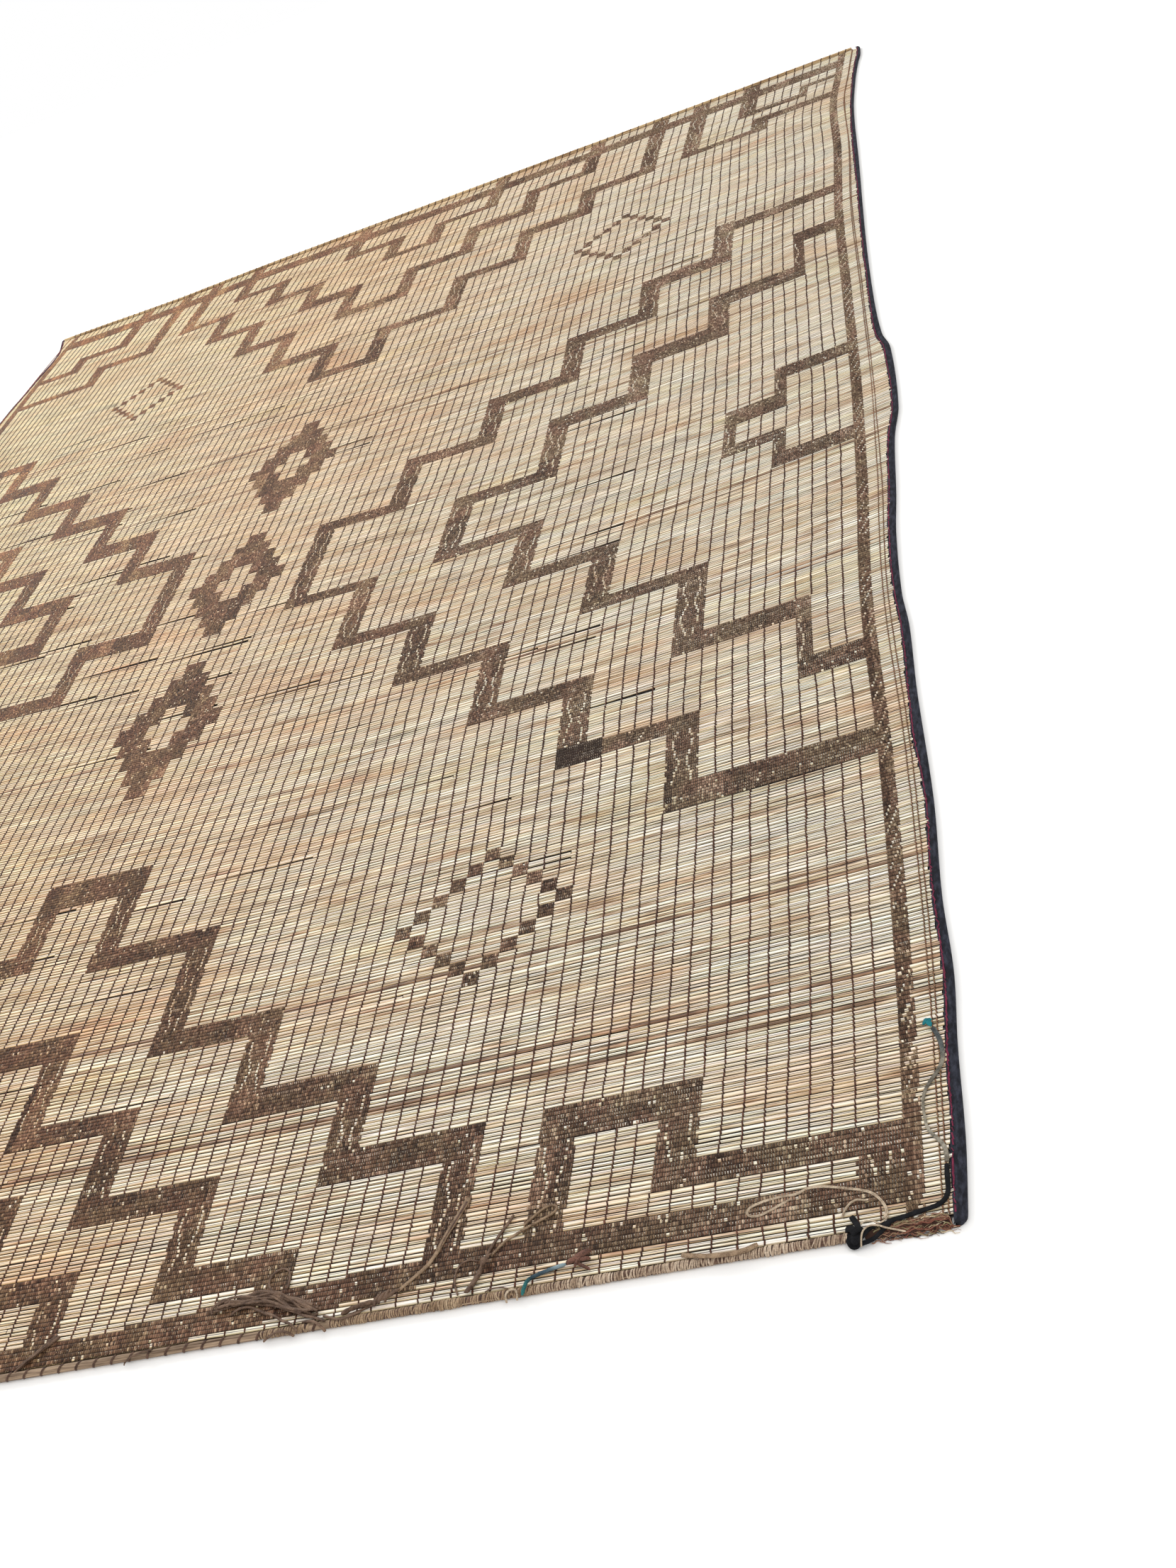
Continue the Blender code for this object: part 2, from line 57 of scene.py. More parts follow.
# %% Driving dimensions, as in the CAD source
MAT_WIDTH = 3.0
MAT_LENGTH = 4.585
OUTLINE_CENTRE = (0.00144, -0.0004)
NEAR_END = -MAT_LENGTH / 2
FAR_END = MAT_LENGTH / 2
GAP = 0.0003
REED_THICKNESS = 0.0055
UNDULATION = 0.0007
END_LIFT = 0.0016
LIFT_RAMP = 0.03
RIM = 0.026
LIP_WAVER = 0.0006
SAG_FADE = 0.1
CLOTH_THICKNESS = 0.0012
BINDING_HEIGHT = 0.0086
SEAM_AT = 1.03
NARROWEST_LIP = 0.0045
BUNDLE_RADIUS = 0.0065
WINDING_THICKNESS = 0.0006
NEAR_BUNDLE_ENDS = (-1.474, 1.3498)
FAR_BUNDLE_ENDS = (-1.474, 1.474)
# The near bundle is thinner here than in the CAD, and its line, its wound
# stretches and the ends of the fray follow the photograph more closely
SHOWN_RADIUS = 0.0052
BUNDLE_LINE = NEAR_END + SHOWN_RADIUS + WINDING_THICKNESS
FIELD_NEAR = NEAR_END + 2 * (BUNDLE_RADIUS + WINDING_THICKNESS) + GAP
FRAY_HALF_WIDTH = 0.007
FRAY_HALF_HEIGHT = 0.0048
FRAY_FROM, FRAY_END, FRAY_TIP = 1.385, 1.481, 1.4925
FRAY_LINE = FIELD_NEAR - GAP - FRAY_HALF_WIDTH
WOUND_STRETCHES = ((-1.0, -0.78), (-0.3, -0.12), (0.6, 0.67), (0.7, 1.3498))

# Outline of the long sides: distance from the near end, shift outwards
RIGHT_EDGE = (
    (0.0, 0.002), (0.12, 0.008), (0.27, 0.009), (0.4, 0.013), (0.55, 0.007), (0.76, 0.008),
    (1.04, -0.002), (1.23, -0.005), (1.34, -0.013), (1.54, -0.014), (1.68, -0.008), (1.91, -0.001),
    (2.04, 0.012), (2.32, 0.007), (2.4, -0.008), (2.6, -0.02), (2.97, -0.028), (3.57, -0.031),
    (4.0, -0.034), (4.28, -0.022), (4.43, -0.01), (4.51, -0.001), (4.585, 0.0),
)
LEFT_EDGE = (
    (0.0, 0.0), (0.45, 0.008), (0.95, -0.003), (1.5, 0.01), (2.05, -0.004), (2.6, 0.006),
    (3.15, -0.006), (3.6, -0.014), (3.95, -0.024), (4.21, -0.039), (4.43, -0.047), (4.585, -0.01),
)
# Width of the cloth that covers the reeds' ends
LIP_WIDTHS = (
    (0.0, 0.015), (0.09, 0.0185), (0.15, 0.0162), (0.33, 0.0142), (0.65, 0.0146), (0.82, 0.0138),
    (0.92, 0.0178), (1.0, 0.0152), (1.26, 0.0156), (1.45, 0.015), (2.1, 0.015), (2.35, 0.0158),
    (2.75, 0.0112), (3.3, 0.0116), (3.6, 0.0138), (4.0, 0.0108), (4.585, 0.0112),
)


def through(table, at):
    """Read a smooth curve through a table of (place, value) rows at many places."""
    places, values = np.array(table, float).T
    before = np.maximum(np.arange(len(places)) - 1, 0)
    after = np.minimum(np.arange(len(places)) + 1, len(places) - 1)
    slopes = (values[after] - values[before]) / (places[after] - places[before])
    at = np.clip(at, places[0], places[-1])
    low = np.clip(np.searchsorted(places, at, side="right") - 1, 0, len(places) - 2)
    span = places[low + 1] - places[low]
    t = (at - places[low]) / span
    start = (2 * t**3 - 3 * t**2 + 1) * values[low] + (t**3 - 2 * t**2 + t) * span * slopes[low]
    end = (3 * t**2 - 2 * t**3) * values[low + 1] + (t**3 - t**2) * span * slopes[low + 1]
    return start + end


def side(hand, y):
    """Return the outline's x on the right (hand +1) or the left (hand -1)."""
    return hand * (MAT_WIDTH / 2 + through(RIGHT_EDGE if hand > 0 else LEFT_EDGE, y - NEAR_END))


def lip_width(hand, y):
    """Return the width of the cloth lip that covers the reeds' ends."""
    return through(LIP_WIDTHS, y - NEAR_END) + LIP_WAVER * np.sin(9.0 * y + hand)


def field_top(x, y):
    """Return the height of the reeds' upper face."""
    inset = np.minimum(side(1, y) - x, x - side(-1, y))
    off = np.maximum(inset - RIM, 0.0)
    lift = END_LIFT * np.maximum(0.0, 1.0 - off / LIFT_RAMP)
    fade = np.minimum(1.0, off / SAG_FADE)
    to_end = np.minimum(y - NEAR_END, FAR_END - y)
    fade = fade * np.clip(to_end / SAG_FADE, 0.0, 1.0)
    wave = np.sin(5.1 * x + 1.7 * y) + np.sin(3.3 * y - 2.2 * x + 0.8)
    return REED_THICKNESS + lift + fade * UNDULATION * 0.5 * wave


def placed(points):
    """Move an array of points from the loom's frame to the outline's centre."""
    return np.asarray(points, float) - (*OUTLINE_CENTRE, 0.0)


print("Widest:", round(float(side(1, 0.0) - side(-1, 0.0)), 3), "m across the middle")

# %% [markdown]
# ## The camera
#
# The photograph was taken by someone who stood at the near right corner and
# looked down along the mat, with the camera tipped to one side. Its place and
# direction come from the mat's four corners. The camera is made first.

# %% Camera
CAMERA_AT = (1.8086, -3.5783, 1.5953)
CAMERA_RIGHT = (0.92546, 0.09476, -0.3668)
CAMERA_AHEAD = (-0.29593, 0.78533, -0.54377)
LENS_MM = 40.68

camera_data = bpy.data.cameras.new("camera")
camera_data.lens = LENS_MM
camera = bpy.data.objects.new("camera", camera_data)
bpy.context.scene.collection.objects.link(camera)
right, ahead = Vector(CAMERA_RIGHT), Vector(CAMERA_AHEAD)
camera.matrix_world = Matrix.Translation(placed(CAMERA_AT)) @ Matrix(
    (right, right.cross(ahead), -ahead)).transposed().to_4x4()
bpy.context.scene.camera = camera
print("Camera stands", round(CAMERA_AT[2], 2), "m above the floor")

# %% [markdown]
# ## Materials
#
# One helper adds a node, sets it and links it, and one turns a colour code to
# the linear values that shaders use. Every finish below starts and ends with the
# same few lines, and gets the marks of its own material between them.

# %% Helpers for materials
READ, PLACE, NOISE = "ShaderNodeAttribute", "ShaderNodeTexCoord", "ShaderNodeTexNoise"
RANGE, RAMP, MIX = "ShaderNodeMapRange", "ShaderNodeValToRGB", "ShaderNodeMix"
MATH, VECTOR_MATH, SEPARATE = "ShaderNodeMath", "ShaderNodeVectorMath", "ShaderNodeSeparateXYZ"
BLEND = {"data_type": "RGBA"}
MULTIPLY = {"data_type": "RGBA", "blend_type": "MULTIPLY"}
BUMP_STRENGTH = 0.8


def linear(code):
    """Turn an sRGB hex colour to linear RGBA."""
    parts = [int(code[i:i + 2], 16) / 255 for i in (1, 3, 5)]
    return (*(v / 12.92 if v <= 0.04045 else ((v + 0.055) / 1.055) ** 2.4 for v in parts), 1.0)


def feed(tree, socket, value):
    """Set a socket to a value or a hex colour, or link it to a node's first output in use."""
    if isinstance(value, bpy.types.Node):
        value = next(output for output in value.outputs if output.enabled)
    if isinstance(value, bpy.types.NodeSocket):
        tree.links.new(value, socket)
    else:
        socket.default_value = linear(value) if str(value).startswith("#") else value


def add_node(tree, kind, inputs=(), stops=(), **settings):
    """Add a node with its settings, a ramp's stops, and its inputs in order or by name."""
    node = tree.nodes.new(kind)
    for name, value in settings.items():
        setattr(node, name, value)
    elements = node.color_ramp.elements if stops else ()
    while len(elements) < len(stops):
        elements.new(0.5)
    for element, (place, code) in zip(elements, stops):
        element.position = place
        element.color = linear(code)
    sockets = [socket for socket in node.inputs if socket.enabled]
    if isinstance(inputs, dict):
        sockets = [next(s for s in sockets if s.name == name) for name in inputs]
        inputs = inputs.values()
    for socket, value in zip(sockets, inputs):
        feed(tree, socket, value)
    return node


def new_finish(name, roughness, shine=0.15):
    """Start a material and return it with its tree and its shader."""
    finish = bpy.data.materials.new(name)
    finish.use_nodes = True
    tree = finish.node_tree
    shader = tree.nodes["Principled BSDF"]
    shader.inputs["Roughness"].default_value = roughness
    shader.inputs["Specular IOR Level"].default_value = shine
    return finish, tree, shader


def end_finish(tree, shader, colour, relief=None, metres=0.0):
    """Give a shader its colour, and raise its surface by a pattern of that many metres."""
    feed(tree, shader.inputs["Base Color"], colour)
    if relief:
        feed(tree, shader.inputs["Normal"], add_node(tree, "ShaderNodeBump", {
            "Height": relief, "Distance": metres, "Strength": BUMP_STRENGTH}))


# %% [markdown]
# ### Split reed
#
# A split reed has a hard, waxy, ivory skin with a faint sheen and fine lines
# along its length. Reeds differ: most are cream, some tan, pinkish or greenish.
# Each reed carries its own tone as an attribute, and painted shade and dust
# darken its sides where two reeds meet. About half of their length has split once
# more, and shows a line of painted shade. The fine lines follow the attribute
# "grain", which runs straight along the reed however the reed bends.

# %% Finish of the split reeds
STRIATION_MM = (110.0, 0.9)
BLOTCH_MM = (80, 11.0)
PATCH_MM = (170, 22)
GAP_PATCH_MM = (60, 2.5)
SPLIT_MM = (150, 31)
SPLIT_DRIFT_MM = (420.0, 24.0)
SPLIT_WIDTH = (0.13, 0.31)
HUE_MM = (160.0, 17.3)
BROAD_HUE_MM = (420, 130)
MAT_SPAN = (-1.2, 1.3)

reed_skin, tree, shader = new_finish("split_reed_skin", 0.42, 0.4)
grain = add_node(tree, READ, attribute_name="grain").outputs["Vector"]
tone, across, crest = (add_node(tree, READ, attribute_name=name).outputs["Fac"]
                       for name in ("tone", "across", "crest"))
on_mat = add_node(tree, PLACE).outputs["Object"]


def along_grain(place, size_mm, detail):
    """Add noise of a real length along the reed and another across it."""
    scale = (1000 / size_mm[0], 1000 / size_mm[1], 1.0)
    place = add_node(tree, VECTOR_MATH, (place, scale), operation="MULTIPLY")
    return add_node(tree, NOISE, {
        "Vector": place, "Scale": 1.0, "Detail": detail, "Roughness": 0.55})


# Tone: the reed's own, with blotches along it and patches across the mat
blotch = along_grain(grain, BLOTCH_MM, 3.0)
patch = along_grain(on_mat, PATCH_MM, 2.0)
for spread in ((blotch, 0.32, 0.68, -0.26, 0.22), (patch, 0.32, 0.6, -0.2, 0.08)):
    tone = add_node(tree, MATH, (tone, add_node(tree, RANGE, spread)), operation="ADD")
reed_colour = add_node(tree, RAMP, (tone,), (
    (0.0, "#8A6B54"), (0.12, "#B1917A"), (0.26, "#CFB59E"), (0.4, "#E6D6C4"),
    (0.53, "#F8F0E4"), (0.66, "#FFFCF6"), (0.82, "#FFFFFF")))

# Hue: pinkish and greenish patches, fine lines, and a yellower tint towards the left
broad_hue = add_node(tree, RAMP, (along_grain(on_mat, BROAD_HUE_MM, 3.0),), (
    (0.3, "#F3DBC8"), (0.44, "#FFF8F1"), (0.56, "#FFFFFF"), (0.7, "#FFF9E6")))
hue = add_node(tree, RANGE, (along_grain(grain, HUE_MM, 1.0), 0.38, 0.62))
hue = add_node(tree, MIX, (hue, "#FFF6F0", "#FFFEF2"), **BLEND)
striation = along_grain(grain, STRIATION_MM, 2.0)
lines = add_node(tree, RANGE, (striation, 0.38, 0.58, 0.62, 1.04))
crosswise = add_node(tree, RANGE, (add_node(tree, SEPARATE, (on_mat,)), *MAT_SPAN))
yellower_left = add_node(tree, RAMP, (crosswise,), (
    (0.0, "#FFF6D2"), (0.45, "#FFECD2"), (0.76, "#FEFBF4"), (1.0, "#FBFBF8")))
for by in (broad_hue, hue, lines, yellower_left):
    reed_colour = add_node(tree, MIX, (1.0, reed_colour, by), **MULTIPLY)

# Splits: a dark line of painted shade that wanders across the reed and comes and goes
split_at = add_node(tree, RANGE, (along_grain(grain, SPLIT_DRIFT_MM, 1.0), 0.32, 0.68, -0.6, 0.6))
off_split = add_node(tree, MATH, (across, split_at), operation="SUBTRACT")
off_split = add_node(tree, MATH, (off_split,), operation="ABSOLUTE")
beside_split = add_node(tree, RANGE, (off_split, *SPLIT_WIDTH))
whole = add_node(tree, RANGE, (along_grain(grain, SPLIT_MM, 1.0), 0.52, 0.6))
sound = add_node(tree, MATH, (beside_split, whole), operation="MAXIMUM")
split_shade_depth = add_node(tree, RANGE, (blotch, 0.46, 0.62))
split_shade_colour = add_node(tree, MIX, (split_shade_depth, "#1A110B", "#64523E"), **BLEND)
reed_colour = add_node(tree, MIX, (sound, split_shade_colour, reed_colour), **BLEND)

# Sides: painted shade on the near flank, and painted shade with dust in the gap below the crest
flank_shade = add_node(tree, RANGE, (across, -1.0, -0.3))
flank_shade = add_node(tree, MIX, (flank_shade, "#CFC3A6", "#FFFFFF"), **BLEND)
reed_colour = add_node(tree, MIX, (1.0, reed_colour, flank_shade), **MULTIPLY)
open_to = add_node(tree, RANGE, (along_grain(grain, GAP_PATCH_MM, 1.0), 0.34, 0.66, 0.66, 0.92))
height_left = add_node(tree, MATH, (crest, open_to), operation="SUBTRACT")
clear_of_shade_and_dust = add_node(tree, RANGE, (height_left, -0.06, 0.08))
gap_shade_and_dust = add_node(tree, MIX, (blotch, "#0E0805", "#2C1E14"), **BLEND)
reed_colour = add_node(tree, MIX, (clear_of_shade_and_dust, gap_shade_and_dust, reed_colour), **BLEND)
end_finish(tree, shader, reed_colour, striation, 0.0003)
print("Reed lines", STRIATION_MM[1], "mm apart")

# %% [markdown]
# ### Leather thong
#
# The thongs are goat leather dyed dark, cut 2 to 3 mm wide. Worn tops shine
# lighter and redder, and the rims are painted nearly black as the shade between
# stitches. The tone says how worn one stitch is, and "crest" how near a point is
# to the stitch's top.

# %% Finish of the thongs
DYE_LOT_MM = 60


def thong_finish(name, edge, stops, roughness):
    """Make a leather finish with painted shade at a stitch's rim, and worn on top."""
    finish, tree, shader = new_finish(name, roughness)
    tone, crest = (add_node(tree, READ, attribute_name=label).outputs["Fac"]
                   for label in ("tone", "crest"))
    place = add_node(tree, PLACE).outputs["Object"]
    scuff, dye = (add_node(tree, NOISE, {"Vector": place, "Scale": scale, "Detail": 2.0})
                  for scale in (900.0, 1000 / DYE_LOT_MM))
    dye = add_node(tree, RANGE, (dye, 0.4, 0.6))
    crosswise = add_node(tree, RANGE, (add_node(tree, SEPARATE, (place,)), -1.2, 1.1))
    worn = add_node(tree, RAMP, (tone,), stops)
    for by in (add_node(tree, RANGE, (scuff, 0.3, 0.7, 0.72, 1.15)),
               add_node(tree, MIX, (dye, "#FFECE6", "#F4F2E2"), **BLEND),
               add_node(tree, MIX, (crosswise, "#FFDAAE", "#F5FAFF"), **BLEND)):
        worn = add_node(tree, MIX, (1.0, worn, by), **MULTIPLY)
    # Painted shade: each stitch's rim turns near black, as between stitches
    top = add_node(tree, RANGE, (crest, 0.04, 0.46))
    colour = add_node(tree, MIX, (top, edge, worn), **BLEND)
    end_finish(tree, shader, colour, scuff, 0.0002)
    return finish


single_leather = thong_finish("dyed_goat_leather", "#1E100C", (
    (0.0, "#3A2216"), (0.4, "#583626"), (0.7, "#7C5642"), (1.0, "#A07C5C")), 0.55)
band_leather = thong_finish("worn_goat_leather", "#20140E", (
    (0.0, "#3A281C"), (0.3, "#644C3A"), (0.55, "#846A55"), (0.78, "#AA9078"),
    (1.0, "#D8C4A8")), 0.58)

# %% [markdown]
# ## The free ties
#
# Leather thongs, cords and tapes hang from the lashed bundle and lie back on
# the mat. They are at their real length from end to end, so none is coiled up.
# Their routes are the CAD source's routes, laid on the same heights.

# %% Routes and their resting height
TIE_SIDES = 16


def bundle_top(x, y):
    """Return the height of the near bundle or of the frayed edge beside it."""
    half_width = half_height = SHOWN_RADIUS + WINDING_THICKNESS
    line = BUNDLE_LINE
    if x > NEAR_BUNDLE_ENDS[1]:
        half_width, half_height, line = FRAY_HALF_WIDTH, FRAY_HALF_HEIGHT, FRAY_LINE
    off = (y - line) / half_width
    return half_height * (1.0 + math.sqrt(1.0 - off**2)) if abs(off) < 1.0 else 0.0


def resting_height(x, y, reach):
    """Return the highest support under a tie that reaches to both sides."""
    heights = []
    for dx, dy in ((0, 0), (0, reach), (0, -reach), (reach, 0), (-reach, 0)):
        heights.append(bundle_top(x + dx, y + dy))
        if y + dy > FIELD_NEAR:
            heights.append(float(field_top(x + dx, y + dy)))
    return max(heights)


def spline_points(route, step):
    """Return points about one step apart on a smooth curve through a route."""
    first = 2 * Vector(route[0]) - Vector(route[1])
    last = 2 * Vector(route[-1]) - Vector(route[-2])
    knots = [first] + [Vector(point) for point in route] + [last]
    points = [knots[1]]
    for i in range(1, len(knots) - 2):
        a, b, c, d = knots[i - 1:i + 3]
        count = max(1, round((c - b).length / step))
        for k in range(1, count + 1):
            t = k / count
            bend = 2 * b + (c - a) * t + (2 * a - 5 * b + 4 * c - d) * t**2
            points.append(0.5 * (bend + (3 * b - a - 3 * c + d) * t**3))
    return points


def lay_route(route, step, reach, half_height):
    """Lay a flat route on the mat and return its points in the part's frame."""
    flat = spline_points(route, step)
    rests = np.array([resting_height(x, y, reach) for x, y in flat])
    padded = np.pad(rests, 3, mode="edge")
    held = np.array([padded[i:i + 7].max() for i in range(len(rests))])
    padded = np.pad(held, 3, mode="edge")
    calm = np.array([padded[i:i + 7].mean() for i in range(len(held))])
    heights = np.maximum(rests, calm) + half_height + GAP + 0.0002
    return placed([(x, y, z) for (x, y), z in zip(flat, heights)])


def skin(rings, closed_ends=True):
    """Return the points and the faces of a skin over a row of equal rings."""
    rings = np.asarray(rings, float)
    rows, count = rings.shape[:2]
    faces = []
    for row in range(rows - 1):
        for k in range(count):
            a, b = row * count + k, row * count + (k + 1) % count
            faces.append((a, a + count, b + count, b))
    if closed_ends:
        faces.append(tuple(range(count)))
        faces.append(tuple(rows * count - 1 - k for k in range(count)))
    return rings.reshape(-1, 3), faces


def add_piece(name, parts, finish, slot, node=None, **values):
    """Join skins as one smooth piece that rides on the mat, with values on its points."""
    faces, offset = [], 0
    for points, part_faces in parts:
        faces += [tuple(i + offset for i in face) for face in part_faces]
        offset += len(points)
    mesh = bpy.data.meshes.new(name)
    mesh.from_pydata(np.concatenate([points for points, _ in parts]).tolist(), [], faces)
    mesh.shade_smooth()
    mesh.set_sharp_from_angle(angle=math.radians(60))
    mesh.materials.append(finish)
    for label, numbers in values.items():
        mesh.attributes.new(label, "FLOAT", "POINT").data.foreach_set("value", numbers)
    piece = bpy.data.objects.new(name, mesh)
    bpy.context.scene.collection.objects.link(piece)
    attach(piece, "root")
    if node:
        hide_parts(node)
    return piece


def run_along(path):
    """Return how far along a path each of its points lies."""
    return np.concatenate([[0.0], np.cumsum(np.linalg.norm(np.diff(path, axis=0), axis=1))])


def sideways(path):
    """Return the level unit vectors that point to the right of a path."""
    ahead = np.gradient(path, axis=0)
    across = np.stack([ahead[:, 1], -ahead[:, 0], np.zeros(len(path))], 1)
    return across / np.linalg.norm(across, axis=1)[:, None]


def follow(path, section, sides=TIE_SIDES):
    """Skin a tube along a path. section gives (across, up) for a share and a turn."""
    path = np.asarray(path, float)
    across = sideways(path)
    up = np.cross(across, np.gradient(path, axis=0))
    up /= np.linalg.norm(up, axis=1)[:, None]
    reach = run_along(path)
    turns = 2 * np.pi * np.arange(sides) / sides
    rings = []
    for point, a, u, s in zip(path, across, up, reach):
        out, high = section(s / reach[-1], turns, s)
        rings.append(point + a * np.asarray(out)[:, None] + u * np.asarray(high)[:, None])
    return skin(rings)


print("Ties are laid on the reeds at about", round(float(field_top(0.9, -2.2)), 4), "m")

# %% [markdown]
# ### Shapes of a tie's section
#
# A twisted cord shows its strands as lobes that turn along it, one turn in
# about five diameters. A leather thong is a rounded strip with a soft groove,
# and a tape is flat and thin. Each is a section swept along the route.

# %% Sections


def twisted(diameter, strands=2, pitch=5.0):
    """Section of a cord of several strands."""
    def section(share, turns, s):
        turn = turns - 2 * np.pi * s / (pitch * diameter)
        radius = diameter / 2 * (0.8 + 0.2 * np.abs(np.cos(strands * turn / 2)))
        ends = min(1.0, 0.55 + 8 * share, 0.55 + 8 * (1 - share))
        return radius * ends * np.cos(turns), radius * ends * np.sin(turns)
    return section


def strip(first_width, last_width, thickness, groove=0.25, end=0.6):
    """Section of a leather strip with a groove along its middle."""
    def section(share, turns, s):
        width = first_width + (last_width - first_width) * share
        width *= 1.0 + 0.05 * math.sin(180 * s)
        tip = min(1.0, end + 12 * (1 - share), 0.8 + 10 * share)
        out, high = np.cos(turns), np.sin(turns)
        flat = np.sign(high) * np.abs(high) ** 0.6
        dip = 1.0 - groove * np.exp(-(out / 0.3) ** 2)
        return width / 2 * tip * out, thickness / 2 * flat * dip
    return section


def twisting_tape(width, thickness, start, end):
    """Section of a flat tape that rolls to a narrow cord in its middle."""
    def section(share, turns, s):
        rolled = math.exp(-((share - (start + end) / 2) / (end - start)) ** 2)
        wide = width / 2 * (1.0 - 0.45 * rolled)
        high = thickness / 2 * (1.0 + 0.7 * rolled)
        flat = np.sign(np.sin(turns)) * np.abs(np.sin(turns)) ** 0.6
        return wide * np.cos(turns), high * flat * (1.0 + 0.12 * np.cos(turns * 3 + 900 * s))
    return section


def oval(across, up, thinning=0.0):
    """Section of an oval strand with these half sizes, which may thin towards its end."""
    def section(share, turns, s):
        left = 1 - thinning * share
        return across * left * np.cos(turns), up * left * np.sin(turns)
    return section


# %% [markdown]
# ### Finishes of the ties
#
# Leather, twine and cotton share one matt finish: a fine and a broad noise mix
# a dark and a light tone, and the fine one raises the surface a little. The
# blue cord and the grey tape also change their hue along their length.

# %% Make the ties' finishes


def fibre_finish(name, dark, light, grain_mm, roughness, stretch=(1.0, 1.0, 1.0), tints=()):
    """Make a matt finish of leather or cloth, tinted along the tie if asked."""
    finish, tree, shader = new_finish(name, roughness)
    place = add_node(tree, PLACE).outputs["Object"]
    place = add_node(tree, "ShaderNodeMapping", {"Vector": place, "Scale": stretch})
    fine, broad = (add_node(tree, NOISE, {"Vector": place, "Scale": scale, "Detail": detail})
                   for scale, detail in ((1000 / grain_mm, 3.0), (90.0, 2.0)))
    shade = add_node(tree, MATH, (fine, broad), operation="ADD")
    shade = add_node(tree, RANGE, (shade, 0.75, 1.25))
    colour = add_node(tree, MIX, (shade, dark, light), **BLEND)
    if tints:
        along = add_node(tree, READ, attribute_name="along").outputs["Fac"]
        tint = add_node(tree, RAMP, (along,), tints)
        colour = add_node(tree, MIX, (1.0, colour, tint), **MULTIPLY)
    end_finish(tree, shader, colour, fine, 0.0004)
    return finish


strap_leather = fibre_finish("strap_goat_leather", "#5C4836", "#9A8268", 1.4, 0.6)
tie_leather = fibre_finish("tie_goat_leather", "#3C2B22", "#7A6250", 1.2, 0.6)
tuft_leather = fibre_finish("red_goat_leather", "#3A2A22", "#7C5446", 1.2, 0.65)
blue_twine = fibre_finish("spun_blue_twine", "#6E8288", "#B4C0C4", 1.5, 0.8, tints=(
    (0.0, "#4C9A92"), (0.22, "#4C8C8A"), (0.36, "#566670"), (0.62, "#74828C"), (1.0, "#E6EEF0")))
pale_rawhide = fibre_finish("pale_rawhide", "#84725F", "#C4B29A", 1.4, 0.65)
black_cotton = fibre_finish("woven_black_cotton", "#070708", "#1A1A1D", 0.9, 0.9)
grey_cotton = fibre_finish("woven_grey_cotton", "#5C5850", "#A49C90", 0.9, 0.8, tints=(
    (0.0, "#B4B0A8"), (0.12, "#FFFFFA"), (0.42, "#F0EEE4"), (0.58, "#B4B4B0"),
    (0.74, "#E4E4DE"), (0.84, "#9AA8B4"), (1.0, "#8A98A8")))
teal_cotton = fibre_finish("twisted_teal_cotton", "#0C5058", "#2E8A92", 0.9, 0.75)

# %% [markdown]
# ### The routes
#
# Each route is a list of places on the mat, read along the tie from where it
# leaves the bundle or a knot. The routes are the CAD source's.

# %% Make the ties
STEP = 0.0022
